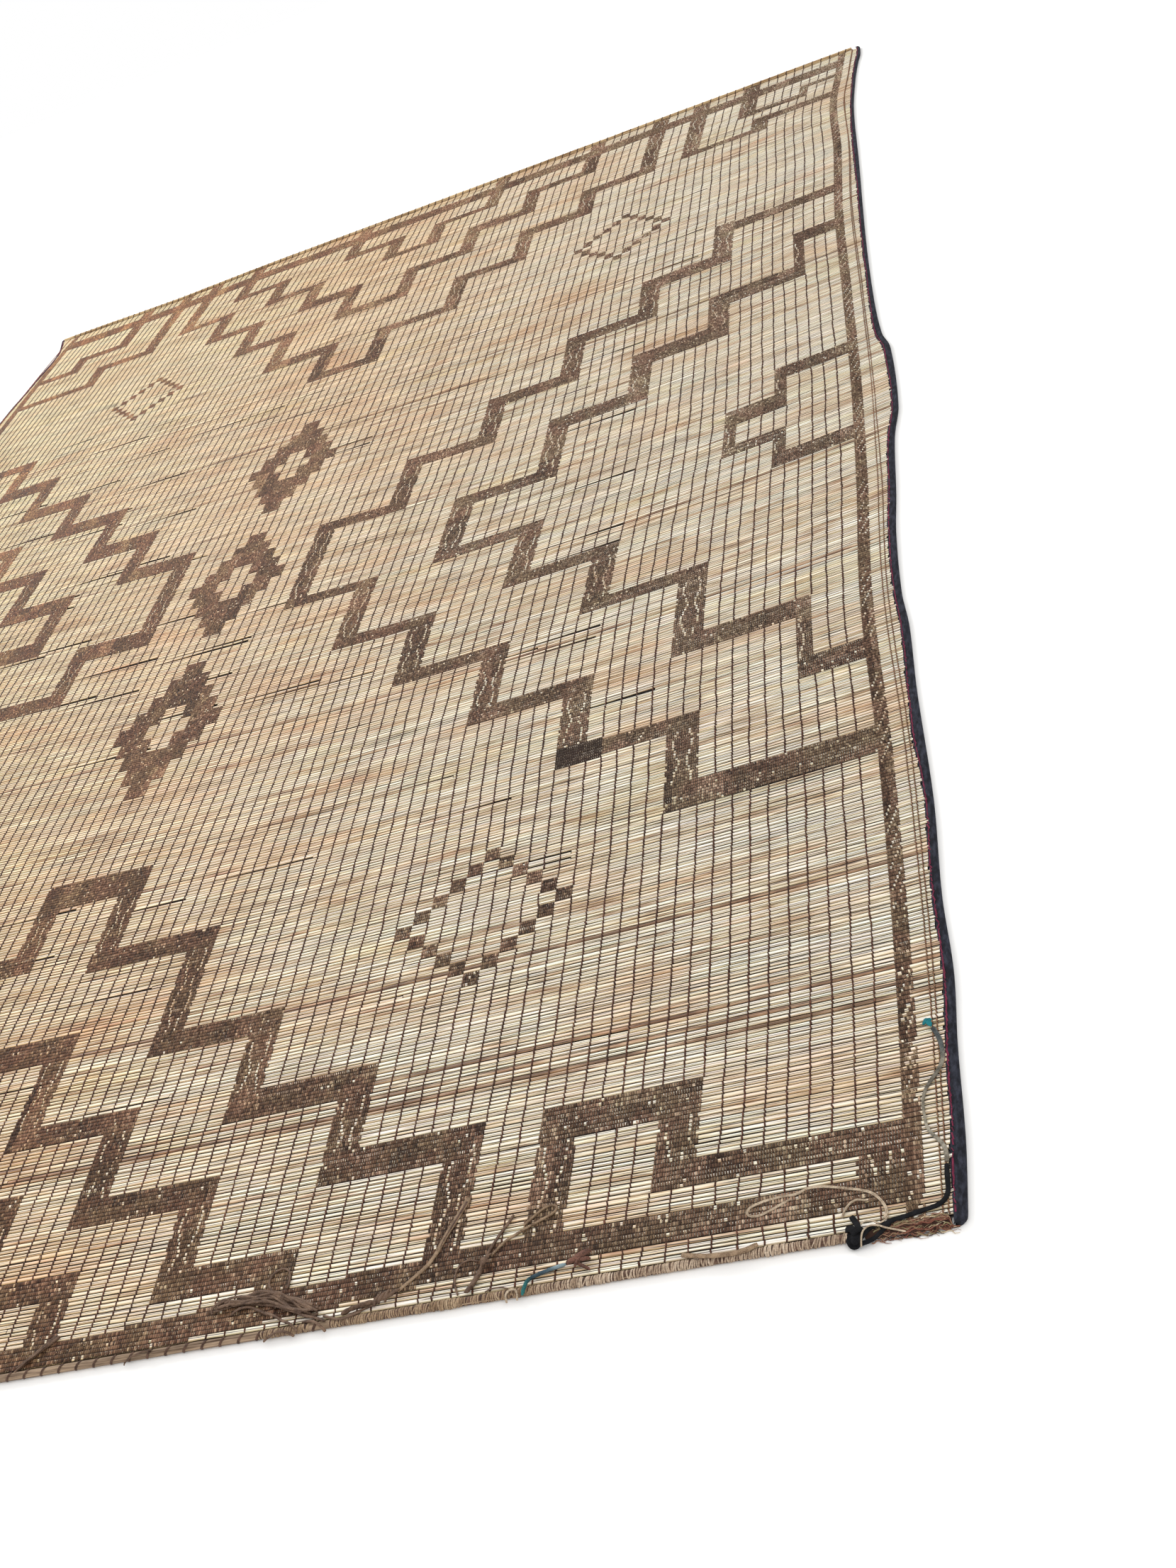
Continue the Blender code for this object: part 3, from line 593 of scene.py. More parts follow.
# Node, width, thickness, far end, stiffness, finish, section, route
TIES = (
    ("strap", 0.01, 0.0026, "bare", "medium", strap_leather,
     strip(0.0044, 0.0086, 0.0026, 0.35), (
         (0.788, -2.256), (0.806, -2.24), (0.823, -2.224), (0.833, -2.206), (0.841, -2.183),
         (0.85, -2.162), (0.858, -2.143), (0.865, -2.126))),
    ("thong_stem", 0.005, 0.005, "knot", "limp", tie_leather, twisted(0.005, 2, 6.0), (
        (0.889, -2.28), (0.893, -2.268), (0.898, -2.256), (0.9031, -2.2433))),
    ("thong_loop", 0.0032, 0.0032, "bare", "limp", strap_leather,
     strip(0.0034, 0.0032, 0.003, 0.3), (
         (0.9115, -2.227), (0.919, -2.217), (0.93, -2.206), (0.945, -2.1975), (0.962, -2.189),
         (0.977, -2.182), (0.989, -2.176), (0.993, -2.168), (0.986, -2.163), (0.975, -2.166),
         (0.965, -2.174), (0.951, -2.187))),
    ("thong_spur", 0.0036, 0.0036, "bare", "limp", tie_leather,
     strip(0.0036, 0.0036, 0.003, 0.3), (
         (0.905, -2.225), (0.9125, -2.208), (0.92, -2.193), (0.928, -2.18), (0.934, -2.168))),
    ("thin_loop", 0.0024, 0.0024, "object", "limp", tie_leather,
     strip(0.0024, 0.0024, 0.0022, 0.1), (
         (0.874, -2.277), (0.868, -2.262), (0.866, -2.246), (0.87, -2.232), (0.881, -2.227),
         (0.895, -2.231))),
    ("corner_tie", 0.005, 0.005, "bare", "limp", tie_leather,
     strip(0.005, 0.0044, 0.0044, 0.2), (
         (0.231, -2.277), (0.241, -2.267), (0.253, -2.257), (0.266, -2.247), (0.279, -2.237))),
    ("tuft_loop", 0.003, 0.003, "object", "limp", tie_leather,
     strip(0.003, 0.0028, 0.0028, 0.2), (
         (0.6, -2.222), (0.592, -2.209), (0.594, -2.195), (0.606, -2.188), (0.618, -2.194),
         (0.622, -2.208), (0.622, -2.222))),
    ("brown_strip", 0.0074, 0.0022, "bare", "medium", strap_leather,
     strip(0.006, 0.0074, 0.0022, 0.2), (
         (1.166, -2.2775), (1.18, -2.2815), (1.195, -2.285), (1.21, -2.287), (1.224, -2.288),
         (1.237, -2.2875), (1.249, -2.285), (1.26, -2.2805))),
    ("blue_cord", 0.005, 0.005, "knot", "limp", blue_twine, twisted(0.005, 3, 3.4), (
        (0.966, -2.2985), (0.9665, -2.292), (0.968, -2.285), (0.971, -2.276), (0.979, -2.268),
        (0.992, -2.264), (1.005, -2.261), (1.016, -2.259))),
    ("pale_loop", 0.0036, 0.0022, "bare", "limp", pale_rawhide,
     strip(0.0036, 0.0032, 0.0022, 0.6), (
         (1.4085, -2.269), (1.4115, -2.26), (1.4085, -2.249), (1.403, -2.2395), (1.395, -2.2305),
         (1.384, -2.224), (1.37, -2.219), (1.354, -2.2135), (1.336, -2.2085), (1.318, -2.2075),
         (1.303, -2.213), (1.286, -2.2128), (1.27, -2.2145), (1.256, -2.2175), (1.246, -2.2225),
         (1.244, -2.2295), (1.25, -2.2345), (1.26, -2.235), (1.273, -2.23), (1.286, -2.224),
         (1.297, -2.219))),
    ("pale_arc", 0.003, 0.003, "object", "limp", pale_rawhide, twisted(0.003, 2, 6.0), (
        (1.389, -2.2405), (1.3825, -2.238), (1.376, -2.237), (1.3695, -2.24), (1.363, -2.248),
        (1.3592, -2.259))),
    ("black_strip", 0.0068, 0.0024, "object", "limp", black_cotton,
     strip(0.0068, 0.006, 0.0024, 0.1, 0.9), (
         (1.403, -2.283), (1.412, -2.28), (1.422, -2.2752), (1.437, -2.2705), (1.452, -2.2678),
         (1.464, -2.266), (1.4735, -2.263), (1.4805, -2.256), (1.4838, -2.246), (1.4842, -2.234),
         (1.4842, -2.2215), (1.4845, -2.2085))),
    ("grey_tape", 0.0062, 0.0018, "knot", "limp", grey_cotton,
     twisting_tape(0.006, 0.0018, 0.25, 0.5), (
         (1.485, -2.2045), (1.4852, -2.192), (1.4825, -2.1795), (1.4765, -2.1685),
         (1.4692, -2.1574), (1.4645, -2.1455), (1.463, -2.1318), (1.462, -2.1182),
         (1.4622, -2.1047), (1.4655, -2.0908), (1.472, -2.0785), (1.4795, -2.0679),
         (1.4862, -2.0565), (1.49, -2.0445), (1.4905, -2.0317), (1.4895, -2.0181),
         (1.4862, -2.0035), (1.4806, -1.9894))),
)
SLOTS = {tie_leather: "thong", strap_leather: "thong", blue_twine: "blue_twine",
         pale_rawhide: "pale_twine", black_cotton: "black_cloth", grey_cotton: "grey_tape"}

ties = {}
for node, width, thickness, far_end, stiffness, finish, section, route in TIES:
    path = lay_route(route, STEP, width / 2, thickness / 2)
    tie = add_piece(node + "_tie", [follow(path, section)], finish, SLOTS[finish], node,
                    along=np.repeat(np.linspace(0, 1, len(path)), TIE_SIDES))
    ties[node] = (tie, path, run_along(path)[-1])
    print(node, "is", round(1000 * ties[node][2]), "mm long")

# %% [markdown]
# ## The loom's grid
#
# Every stitch sits where a row meets a line of thong, so the whole pattern is
# a chart. Rows are the reeds, counted from the far end. Lines are the thongs,
# counted from the right border, with negative numbers to the left. The reeds
# bow a little towards the far end, and the lines drift by a few millimetres.
# Two functions turn a place on the chart into a place on the mat.

# %% Grid
ROWS = 638
ROW_PITCH = MAT_LENGTH / ROWS
FIRST_ROW, LAST_ROW = 2, 636
LEFT_BORDER, RIGHT_BORDER = -112, 1
CELL_AT, CELL_WIDTH, CELL_GROWTH = 1.3925, 0.027875, 0.0000226
BORDER_CELL = 0.0225
BOW_AT, BOW_START, BOW_SPAN = 0.4375, 0.3057, 4.1265
BOW_LEFT, BOW_RIGHT = 0.1376, 0.0917
SAG, SAG_AT, SAG_WIDTH, SAG_DEPTH = 0.018, -1.0, 0.26, 0.22

# Drift of five thong lines in millimetres, by metres from the far end
DRIFT_LINES = (0, -10, -18, -26, -34)
DRIFT = (
    (0.0, (40, 31, 25, 19, 19)), (0.21, (24, 21, 15, 6, 2)), (0.5, (3, 5, 4, 1, 0)),
    (0.92, (9, 10, 2, 5, 0)), (1.45, (5, 7, 4, 1, 0)), (1.99, (16, 16, 16, 9, 2)),
    (2.45, (25, 22, 15, 7, -11)), (2.9, (26, 12, 0, -7, -21)), (3.3, (22, 12, -4, -7, -10)),
    (3.75, (39, 25, 16, 14, -2)), (4.22, (45, 34, 26, 20, 10)), (4.58, (41, 25, 22, 22, 19)),
)
LEFT_DRIFT_TOP, LEFT_DRIFT_FADE = 0.019, 0.23
LEFT_DRIFT_BELLY, LEFT_DRIFT_AT, LEFT_DRIFT_WIDTH = 0.0175, -65, 32


def row_y(d, x):
    """Return the y of a reed that was laid d from the far end, where it crosses x."""
    left = BOW_LEFT * (np.maximum(BOW_AT - x, 0) / (BOW_AT + MAT_WIDTH / 2)) ** 1.15
    right = BOW_RIGHT * (np.maximum(x - BOW_AT, 0) / (MAT_WIDTH / 2 - BOW_AT)) ** 2
    swell = np.sin(np.pi * np.clip((d - BOW_START) / BOW_SPAN, 0, 1))
    sag = SAG * np.exp(-((x - SAG_AT) / SAG_WIDTH) ** 2) * np.exp(-(d / SAG_DEPTH) ** 2)
    return FAR_END - d + swell * (left + right) - sag


def line_drift(d, line):
    """Return how far a thong line stands right of its even place."""
    curves = [through([(at, mm[k] / 1000) for at, mm in DRIFT], d)
              for k in range(len(DRIFT_LINES))]
    place = np.interp(-line, [-at for at in DRIFT_LINES], np.arange(len(DRIFT_LINES)))
    low = np.clip(np.floor(place).astype(int), 0, len(DRIFT_LINES) - 2)
    curves = np.stack(np.broadcast_arrays(*curves))
    pick = np.arange(low.size)
    flat = curves.reshape(len(curves), -1)
    share = (place - low).ravel()
    near = flat[low.ravel(), pick] * (1 - share) + flat[low.ravel() + 1, pick] * share
    belly = np.exp(-((line - LEFT_DRIFT_AT) / LEFT_DRIFT_WIDTH) ** 2)
    far = (LEFT_DRIFT_TOP * np.exp(-d / LEFT_DRIFT_FADE)
           - LEFT_DRIFT_BELLY * np.sin(np.pi * d / MAT_LENGTH) * belly)
    blend = np.clip((-line + DRIFT_LINES[-1]) / 16, 0, 1)
    return near.reshape(low.shape) * (1 - blend) + far * blend


def line_x(d, line):
    """Return the x of a thong line at d from the far end."""
    d, line = np.broadcast_arrays(np.asarray(d, float), np.asarray(line, float))
    inner = np.minimum(line, 0.0)
    even = CELL_AT + CELL_WIDTH * inner + CELL_GROWTH * inner**2
    return even + BORDER_CELL * np.maximum(line, 0.0) + line_drift(d, inner)


print("Border line stands", round(float(line_x(2.0, 0.0)), 3), "m right of the middle")

# %% [markdown]
# ## The chart of the thong bands
#
# The pattern is a traditional one of this kind of mat: stepped zigzags nest
# round stepped diamonds, mirrored about the middle. A staircase is a list of
# upright bands; where one band overlaps the next, the stitches fill the rows
# right across both, which makes a step. Each entry is first line, last line,
# first row, last row, read off the mat by counting. The left and near parts
# that the photograph leaves out are finished by the pattern's own symmetry.

# %% Chart
STAIRCASES = (
    # Far corners
    ((-99, -97, 0, 45),), ((-106, -104, 40, 60),), ((-92, -90, 0, 71),),
    ((-100, -98, 66, 90),), ((-17, -15, 0, 66),), ((-9, -7, 50, 67),),
    ((-11, -9, 0, 41),), ((-4, -3, 27, 41),),
    # Far zigzags, outer to inner
    ((-87, -85, 0, 60), (-80, -78, 56, 89), (-73, -71, 84, 120), (-66, -64, 114, 153),
     (-58, -56, 146, 181)),
    ((-22, -20, 0, 69), (-29, -27, 63, 94), (-36, -34, 87, 122), (-43, -41, 116, 152),
     (-51, -49, 147, 181)),
    ((-80, -78, 0, 39), (-73, -71, 35, 63), (-66, -64, 58, 88), (-59, -57, 81, 116)),
    ((-30, -28, 0, 40), (-37, -35, 35, 64), (-44, -42, 57, 89), (-51, -49, 83, 116)),
    ((-63, -61, 0, 38), (-56, -54, 33, 58)), ((-43, -41, 0, 37), (-50, -48, 33, 58)),
    # Right zigzags, outer to inner
    ((-12, -10, 166, 205), (-19, -17, 196, 232), (-26, -24, 225, 263), (-33, -31, 256, 291),
     (-40, -38, 285, 321), (-47, -45, 316, 367), (-40, -38, 363, 400), (-33, -31, 395, 429),
     (-26, -24, 424, 459), (-19, -17, 453, 488), (-12, -10, 483, 516)),
    ((-4, -3, 205, 245), (-12, -10, 235, 271), (-19, -17, 261, 298), (-26, -24, 290, 332),
     (-33, -31, 326, 364), (-26, -24, 359, 393), (-19, -17, 388, 421), (-12, -10, 416, 456),
     (-4, -3, 449, 482)),
    ((-6, -5, 314, 340), (-10, -9, 331, 359), (-6, -5, 354, 376)),
    # Left zigzags, outer to inner
    ((-100, -98, 170, 207), (-93, -91, 198, 235), (-85, -83, 227, 262), (-77, -75, 253, 291),
     (-70, -68, 282, 317), (-63, -61, 309, 366), (-70, -68, 357, 391), (-77, -75, 384, 422),
     (-85, -83, 413, 448), (-93, -91, 440, 477), (-100, -98, 468, 505)),
    ((-105, -103, 204, 240), (-98, -96, 232, 267), (-91, -89, 260, 296), (-84, -82, 288, 325),
     (-77, -75, 316, 354), (-84, -82, 345, 382), (-91, -89, 374, 410), (-98, -96, 403, 438),
     (-105, -103, 430, 466)),
    ((-103, -102, 314, 340), (-99, -98, 331, 359), (-103, -102, 354, 376)),
    # Near zigzags, outer to inner
    ((-51, -49, 488, 523), (-43, -41, 517, 557), (-36, -34, 551, 582), (-29, -27, 575, 604),
     (-22, -20, 597, 638)),
    ((-58, -56, 486, 518), (-66, -64, 512, 557), (-73, -71, 551, 582), (-80, -78, 575, 604),
     (-87, -85, 597, 638)),
    ((-51, -49, 545, 578), (-44, -42, 573, 603), (-37, -35, 597, 625), (-31, -29, 619, 638)),
    ((-59, -57, 545, 578), (-66, -64, 573, 603), (-73, -71, 597, 625), (-80, -78, 619, 638)),
    ((-50, -48, 592, 620), (-44, -42, 615, 638)), ((-56, -54, 592, 620), (-63, -61, 615, 638)),
    # Near corners
    ((-17, -15, 597, 638),), ((-11, -9, 597, 620),), ((-2, 0, 621, 638),),
    ((-99, -97, 593, 638),), ((-106, -104, 578, 598),), ((-92, -90, 567, 638),),
    ((-100, -98, 548, 572),),
)
BARS = (
    (-111, -104, 55, 60), (-111, -98, 86, 90), (-17, -7, 63, 67), (-9, 0, 50, 56),
    (-11, -3, 37, 41), (-4, 0, 27, 30), (-58, -49, 175, 181), (-59, -49, 110, 116),
    (-56, -48, 55, 58), (-12, 0, 168, 175), (-12, 0, 509, 517), (-4, 0, 204, 213),
    (-4, 0, 475, 482), (-6, 0, 313, 320), (-6, 0, 369, 376), (-111, -98, 170, 176),
    (-111, -98, 499, 505), (-111, -103, 204, 210), (-111, -103, 460, 466), (-111, -102, 313, 320),
    (-111, -102, 369, 376), (-58, -49, 486, 495), (-59, -49, 545, 552), (-56, -48, 592, 599),
    (-17, -9, 597, 604), (-11, 0, 615, 620), (-111, -104, 578, 583), (-111, -98, 548, 552),
    (-99, -97, 40, 45), (-99, -97, 593, 598), (-106, -97, 40, 45), (-100, -90, 66, 71),
    (-106, -97, 593, 598), (-100, -90, 567, 572),
)
CHECKERED = ((-85, 114, 158), (-23, 113, 161), (-23, 514, 558), (-85, 514, 558))
STEPPED = ((225, 294), (309, 372), (387, 453))
STEPPED_AXIS = -54
STEPPED_WIDTHS = (2, 4, 6, 8, 10, 8, 6, 4, 2)
FAR_BAND, NEAR_BAND = (10, 18), (631, 636)
NEAR_BAND_RISE, NEAR_BAND_FROM, NEAR_BAND_TO = 5, -41, -20
DARK_PATCH = (-19, -16, 482, 489)
COLUMNS = 8

BARE, UPRIGHT, NARROW, ACROSS, SOLID, DARK = range(6)
WIDE = (RIGHT_BORDER - LEFT_BORDER) * COLUMNS
chart = np.zeros((ROWS + 1, WIDE), int)


def fill(first_line, last_line, first_row, last_row, kind):
    """Paint a rectangle of the chart."""
    left = (first_line - LEFT_BORDER) * COLUMNS
    right = (last_line - LEFT_BORDER) * COLUMNS
    chart[max(first_row, 0):min(last_row, ROWS) + 1, left:right] = kind


for stairs in STAIRCASES:
    for first, last, top, bottom in stairs:
        fill(first, last, top, bottom, UPRIGHT if last - first > 1 else NARROW)
for stairs in STAIRCASES:
    for one, two in zip(stairs, stairs[1:]):
        shared = max(one[2], two[2]), min(one[3], two[3])
        fill(min(one[0], two[0]), max(one[1], two[1]), *shared, ACROSS)
for bar in BARS:
    fill(*bar, ACROSS)
for line, top, bottom in CHECKERED:
    for k in range(11):
        out = min(k, 10 - k)
        rows = round(top + (bottom - top) * k / 11), round(top + (bottom - top) * (k + 1) / 11) - 1
        fill(line - out, line - out + 1, *rows, ACROSS)
        fill(line + out, line + out + 1, *rows, ACROSS)
for top, bottom in STEPPED:
    for k, wide in enumerate(STEPPED_WIDTHS):
        step = (bottom - top) / len(STEPPED_WIDTHS)
        rows = round(top + step * k), round(top + step * (k + 1)) - 1
        fill(STEPPED_AXIS - wide // 2, STEPPED_AXIS + wide // 2, *rows, SOLID)
    middle = (top + bottom) // 2
    fill(STEPPED_AXIS - 2, STEPPED_AXIS + 2, middle - 3, middle + 3, BARE)
    fill(STEPPED_AXIS - 1, STEPPED_AXIS + 1, middle - 10, middle + 10, BARE)
fill(*DARK_PATCH, DARK)
fill(LEFT_BORDER, RIGHT_BORDER, *FAR_BAND, ACROSS)
for line in range(LEFT_BORDER, RIGHT_BORDER):
    rise = (line - NEAR_BAND_FROM) / (NEAR_BAND_TO - NEAR_BAND_FROM)
    rise = round(NEAR_BAND_RISE * np.clip(rise, 0, 1))
    fill(line, line + 1, NEAR_BAND[0] - rise, ROWS, BARE)
    fill(line, line + 1, NEAR_BAND[0] - rise, NEAR_BAND[1] - rise, ACROSS)
fill(LEFT_BORDER, LEFT_BORDER + 1, 0, ROWS, NARROW)
fill(RIGHT_BORDER - 1, RIGHT_BORDER, 0, ROWS, NARROW)
print("Band stitches charted:", int((chart > 0).sum()))

# %% [markdown]
# ### Bare specks in the bands
#
# Some stitches pass under a reed and leave an ivory speck. They draw chains of
# small diamonds on the wide bands and slanted strokes on the border. The specks
# follow a rule, so the chart doesn't hold them one by one.

# %% Specks
CHAIN_ROWS = 14
CHAIN_SWAY = 1.3
STROKE_ROWS = 11
QUIET_ROWS = 45
CHAINS_AT = (0.27, 0.7)
KEPT_SHARE = 0.86
rng = np.random.default_rng(7)

row_number, column_number = np.indices(chart.shape)
in_cell = column_number % COLUMNS
kept = rng.random(chart.shape)
specks = np.zeros(chart.shape, bool)
for stairs in STAIRCASES:
    for first, last, top, bottom in stairs:
        left, wide = (first - LEFT_BORDER) * COLUMNS, (last - first) * COLUMNS
        area = (slice(max(top, 0), min(bottom, ROWS) + 1), slice(left, left + wide))
        column = column_number[area] - left
        sway = CHAIN_SWAY * np.sin((row_number[area] - top) * 2 * np.pi / CHAIN_ROWS)
        mark = np.abs(column - wide * CHAINS_AT[0] - sway) < 0.5
        if last - first > 1:
            mark |= np.abs(column - wide * CHAINS_AT[1] + sway) < 0.5
            mark |= ((column == 0) | (column == wide - 1)) & (kept[area] < 0.25)
        specks[area] |= mark & (chart[area] <= NARROW)
border = (chart == NARROW) & ((column_number < COLUMNS) | (column_number >= WIDE - COLUMNS))
stroke = (in_cell + row_number) % STROKE_ROWS
lively = np.sin(row_number * 2 * np.pi / QUIET_ROWS) > -0.55
specks |= border & lively & (in_cell > 0) & ((stroke == 0) | (stroke == STROKE_ROWS // 2))
specks |= border & lively & (row_number > 560) & (in_cell > 1) & (stroke == 1)
specks |= (chart == ACROSS) & (kept < 0.02)
specks |= (chart == SOLID) & (in_cell % 2 == 0) & (kept < 0.06)
specks &= kept < KEPT_SHARE
print("Specks left bare:", int((specks & (chart > 0)).sum()))

# %% [markdown]
# ## The reeds
#
# Six hundred reeds follow one rule, so Geometry Nodes sweep one section along
# all of their lines. The script lays the lines: an edge per stretch of reed,
# with its half width, height, tone and grain as attributes. The tree turns the
# lines to curves, sweeps a four-cornered section, and then sets each corner
# from the attributes, so a reed can be wide here and narrow there. Smooth
# shading rounds the four corners.

# %% Node tree for the reeds
POSITION, READ_NAMED = "GeometryNodeInputPosition", "GeometryNodeInputNamedAttribute"
STORE, COMBINE = "GeometryNodeStoreNamedAttribute", "ShaderNodeCombineXYZ"
VECTOR = {"data_type": "FLOAT_VECTOR"}


def new_tree(name, inputs):
    """Start a geometry tree and return it with its two ends."""
    tree = bpy.data.node_groups.new(name, "GeometryNodeTree")
    tree.interface.new_socket("Geometry", in_out="OUTPUT", socket_type="NodeSocketGeometry")
    for label, kind in (("Geometry", "Geometry"), *inputs, ("Finish", "Material")):
        tree.interface.new_socket(label, in_out="INPUT", socket_type="NodeSocket" + kind)
    return tree, tree.nodes.new("NodeGroupInput").outputs, tree.nodes.new("NodeGroupOutput").inputs


def end_tree(tree, geometry, given, result):
    """Turn a tree's instances to plain, smooth faces with their finish."""
    for kind in ("GeometryNodeRealizeInstances", "GeometryNodeSetShadeSmooth"):
        geometry = add_node(tree, kind, {"Geometry": geometry})
    feed(tree, result[0], add_node(tree, "GeometryNodeSetMaterial", {
        "Geometry": geometry, "Material": given["Finish"]}))


def run_tree(name, tree, base, values):
    """Run a tree on a base mesh and return the result as a plain, finished object."""
    item = bpy.data.objects.new(name, base)
    bpy.context.scene.collection.objects.link(item)
    modifier = item.modifiers.new("nodes", "NODES")
    modifier.node_group = tree
    for socket in tree.interface.items_tree:
        if socket.in_out == "INPUT" and socket.name in values:
            modifier[socket.identifier] = values[socket.name]
    result = bpy.data.meshes.new_from_object(
        item.evaluated_get(bpy.context.evaluated_depsgraph_get()),
        preserve_all_data_layers=True, depsgraph=bpy.context.evaluated_depsgraph_get())
    item.modifiers.clear()
    item.data = result
    bpy.data.meshes.remove(base)
    result.name = name
    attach(item, "root")
    return item


def line_mesh(name, points, edges, values):
    """Make a mesh of points and edges with named values on the points."""
    mesh = bpy.data.meshes.new(name)
    mesh.vertices.add(len(points))
    mesh.vertices.foreach_set("co", np.ascontiguousarray(points, np.float32).ravel())
    if len(edges):
        mesh.edges.add(len(edges))
        mesh.edges.foreach_set("vertices", np.ascontiguousarray(edges, np.int32).ravel())
    for label, numbers in values.items():
        numbers = np.ascontiguousarray(numbers, np.float32)
        vector = numbers.ndim == 2
        attribute = mesh.attributes.new(label, "FLOAT_VECTOR" if vector else "FLOAT", "POINT")
        attribute.data.foreach_set("vector" if vector else "value", numbers.ravel())
    return mesh


sweep_tree, given, result = new_tree("sweep_reeds", (("Bevel", "Float"), ("Across", "Vector")))
half, low, high, across, crest = (
    add_node(sweep_tree, READ_NAMED, {"Name": name})
    for name in ("half", "low", "high", "across", "crest"))
centre, grain = (add_node(sweep_tree, READ_NAMED, {"Name": name}, **VECTOR)
                 for name in ("centre", "grain"))

# The lines remember their own places, and the section its corners
position = add_node(sweep_tree, POSITION)
curves = add_node(sweep_tree, "GeometryNodeMeshToCurve", {"Mesh": add_node(sweep_tree, STORE, {
    "Geometry": given["Geometry"], "Name": "centre", "Value": position}, **VECTOR)})
section = add_node(sweep_tree, "GeometryNodeCurvePrimitiveQuadrilateral", {
    "Width": 2.0, "Height": 1.0})
corner = add_node(sweep_tree, SEPARATE, (position,)).outputs
for name, share in (("across", corner[0]), (
        "crest", add_node(sweep_tree, MATH, (corner[1], 0.5), operation="ADD"))):
    section = add_node(sweep_tree, STORE, {"Geometry": section, "Name": name, "Value": share})
swept = add_node(sweep_tree, "GeometryNodeCurveToMesh", {
    "Curve": curves, "Profile Curve": section, "Fill Caps": True})

# Each corner goes to its place beside the line, from the reed's own measures
bevel = add_node(sweep_tree, MATH, (crest, given["Bevel"]), operation="MULTIPLY")
narrowed = add_node(sweep_tree, MATH, (half, bevel), operation="SUBTRACT")
reach = add_node(sweep_tree, MATH, (across, narrowed), operation="MULTIPLY")
level = add_node(sweep_tree, VECTOR_MATH, (given["Across"], reach), operation="SCALE")
upright = add_node(sweep_tree, COMBINE, {"Z": add_node(sweep_tree, MIX, (crest, low, high))})
spot = centre
for shift in (level, upright):
    spot = add_node(sweep_tree, VECTOR_MATH, (spot, shift))
swept = add_node(sweep_tree, "GeometryNodeSetPosition", {"Geometry": swept, "Position": spot})
grain = add_node(sweep_tree, VECTOR_MATH, (grain, add_node(sweep_tree, COMBINE, {"Y": reach})))
end_tree(sweep_tree, add_node(sweep_tree, STORE, {
    "Geometry": swept, "Name": "grain", "Value": grain}, **VECTOR), given, result)
print("Tree:", len(sweep_tree.nodes), "nodes")

# %% [markdown]
# ### Laying the reeds
#
# The reeds are far from even. Each boundary between two reeds wanders by about
# half a millimetre, the gaps open and close, some reeds are spliced from two
# lengths, and some stop a little short of the cloth. The mat is made in four
# panels, so that no piece is too heavy.

# %% Lay the reeds in four panels
PANELS = 4
REED_LOW = 0.0011
REED_BEVEL = 0.001
STATIONS = 28
SPLICES = 150
END_STEP = 0.03
LEFT_COVER = 0.002
PITCH_ERROR, WAVER, LEVEL_ERROR = 0.00042, 0.0003, 0.00016
LEAST_GAP, GAP_WAVER = 0.0002, 0.0003
LOOSE_SHARE, LOOSE_GAP = 0.16, 0.0008
TONE, TONE_SPREAD, TONE_DRIFT = 0.69, 0.09, 0.11
TAN_SHARE, TAN_TONES = 0.002, (0.4, 0.5)
SHORT_SHARE, SHORT_BY, TUCKED_BY = 0.2, 0.0022, 0.004
SPLICE_GAP = 0.0012

rng = np.random.default_rng(21)


def wandering(rows, keep, size):
    """Return smooth random values along each row of reeds."""
    values = rng.normal(size=(rows, STATIONS))
    for k in range(1, STATIONS):
        values[:, k] = keep * values[:, k - 1] + math.sqrt(1 - keep**2) * values[:, k]
    return values * size


count = LAST_ROW - FIRST_ROW
pitch_error = np.clip(rng.normal(size=count + 1), -1.8, 1.8) * PITCH_ERROR
waver = wandering(count + 1, 0.75, WAVER)
open_gap = LEAST_GAP + np.abs(wandering(count + 1, 0.6, GAP_WAVER))
loose = rng.random((count + 1, 1)) < LOOSE_SHARE
open_gap += loose * np.abs(wandering(count + 1, 0.5, LOOSE_GAP))
tones = TONE + TONE_SPREAD * rng.normal(size=count)
slow = np.convolve(rng.normal(size=count + 8), np.ones(5) / 5, "same")[:count]
tones = np.clip(tones + TONE_DRIFT * slow, 0.44, 1.0)
tan = rng.random(count) < TAN_SHARE
tones[tan] = rng.uniform(*TAN_TONES, int(tan.sum()))
spliced = set(rng.choice(count, SPLICES, replace=False).tolist())
short = np.where(rng.random(count) < SHORT_SHARE, rng.uniform(0.0, SHORT_BY, count), -TUCKED_BY)
levels = rng.normal(size=count) * LEVEL_ERROR

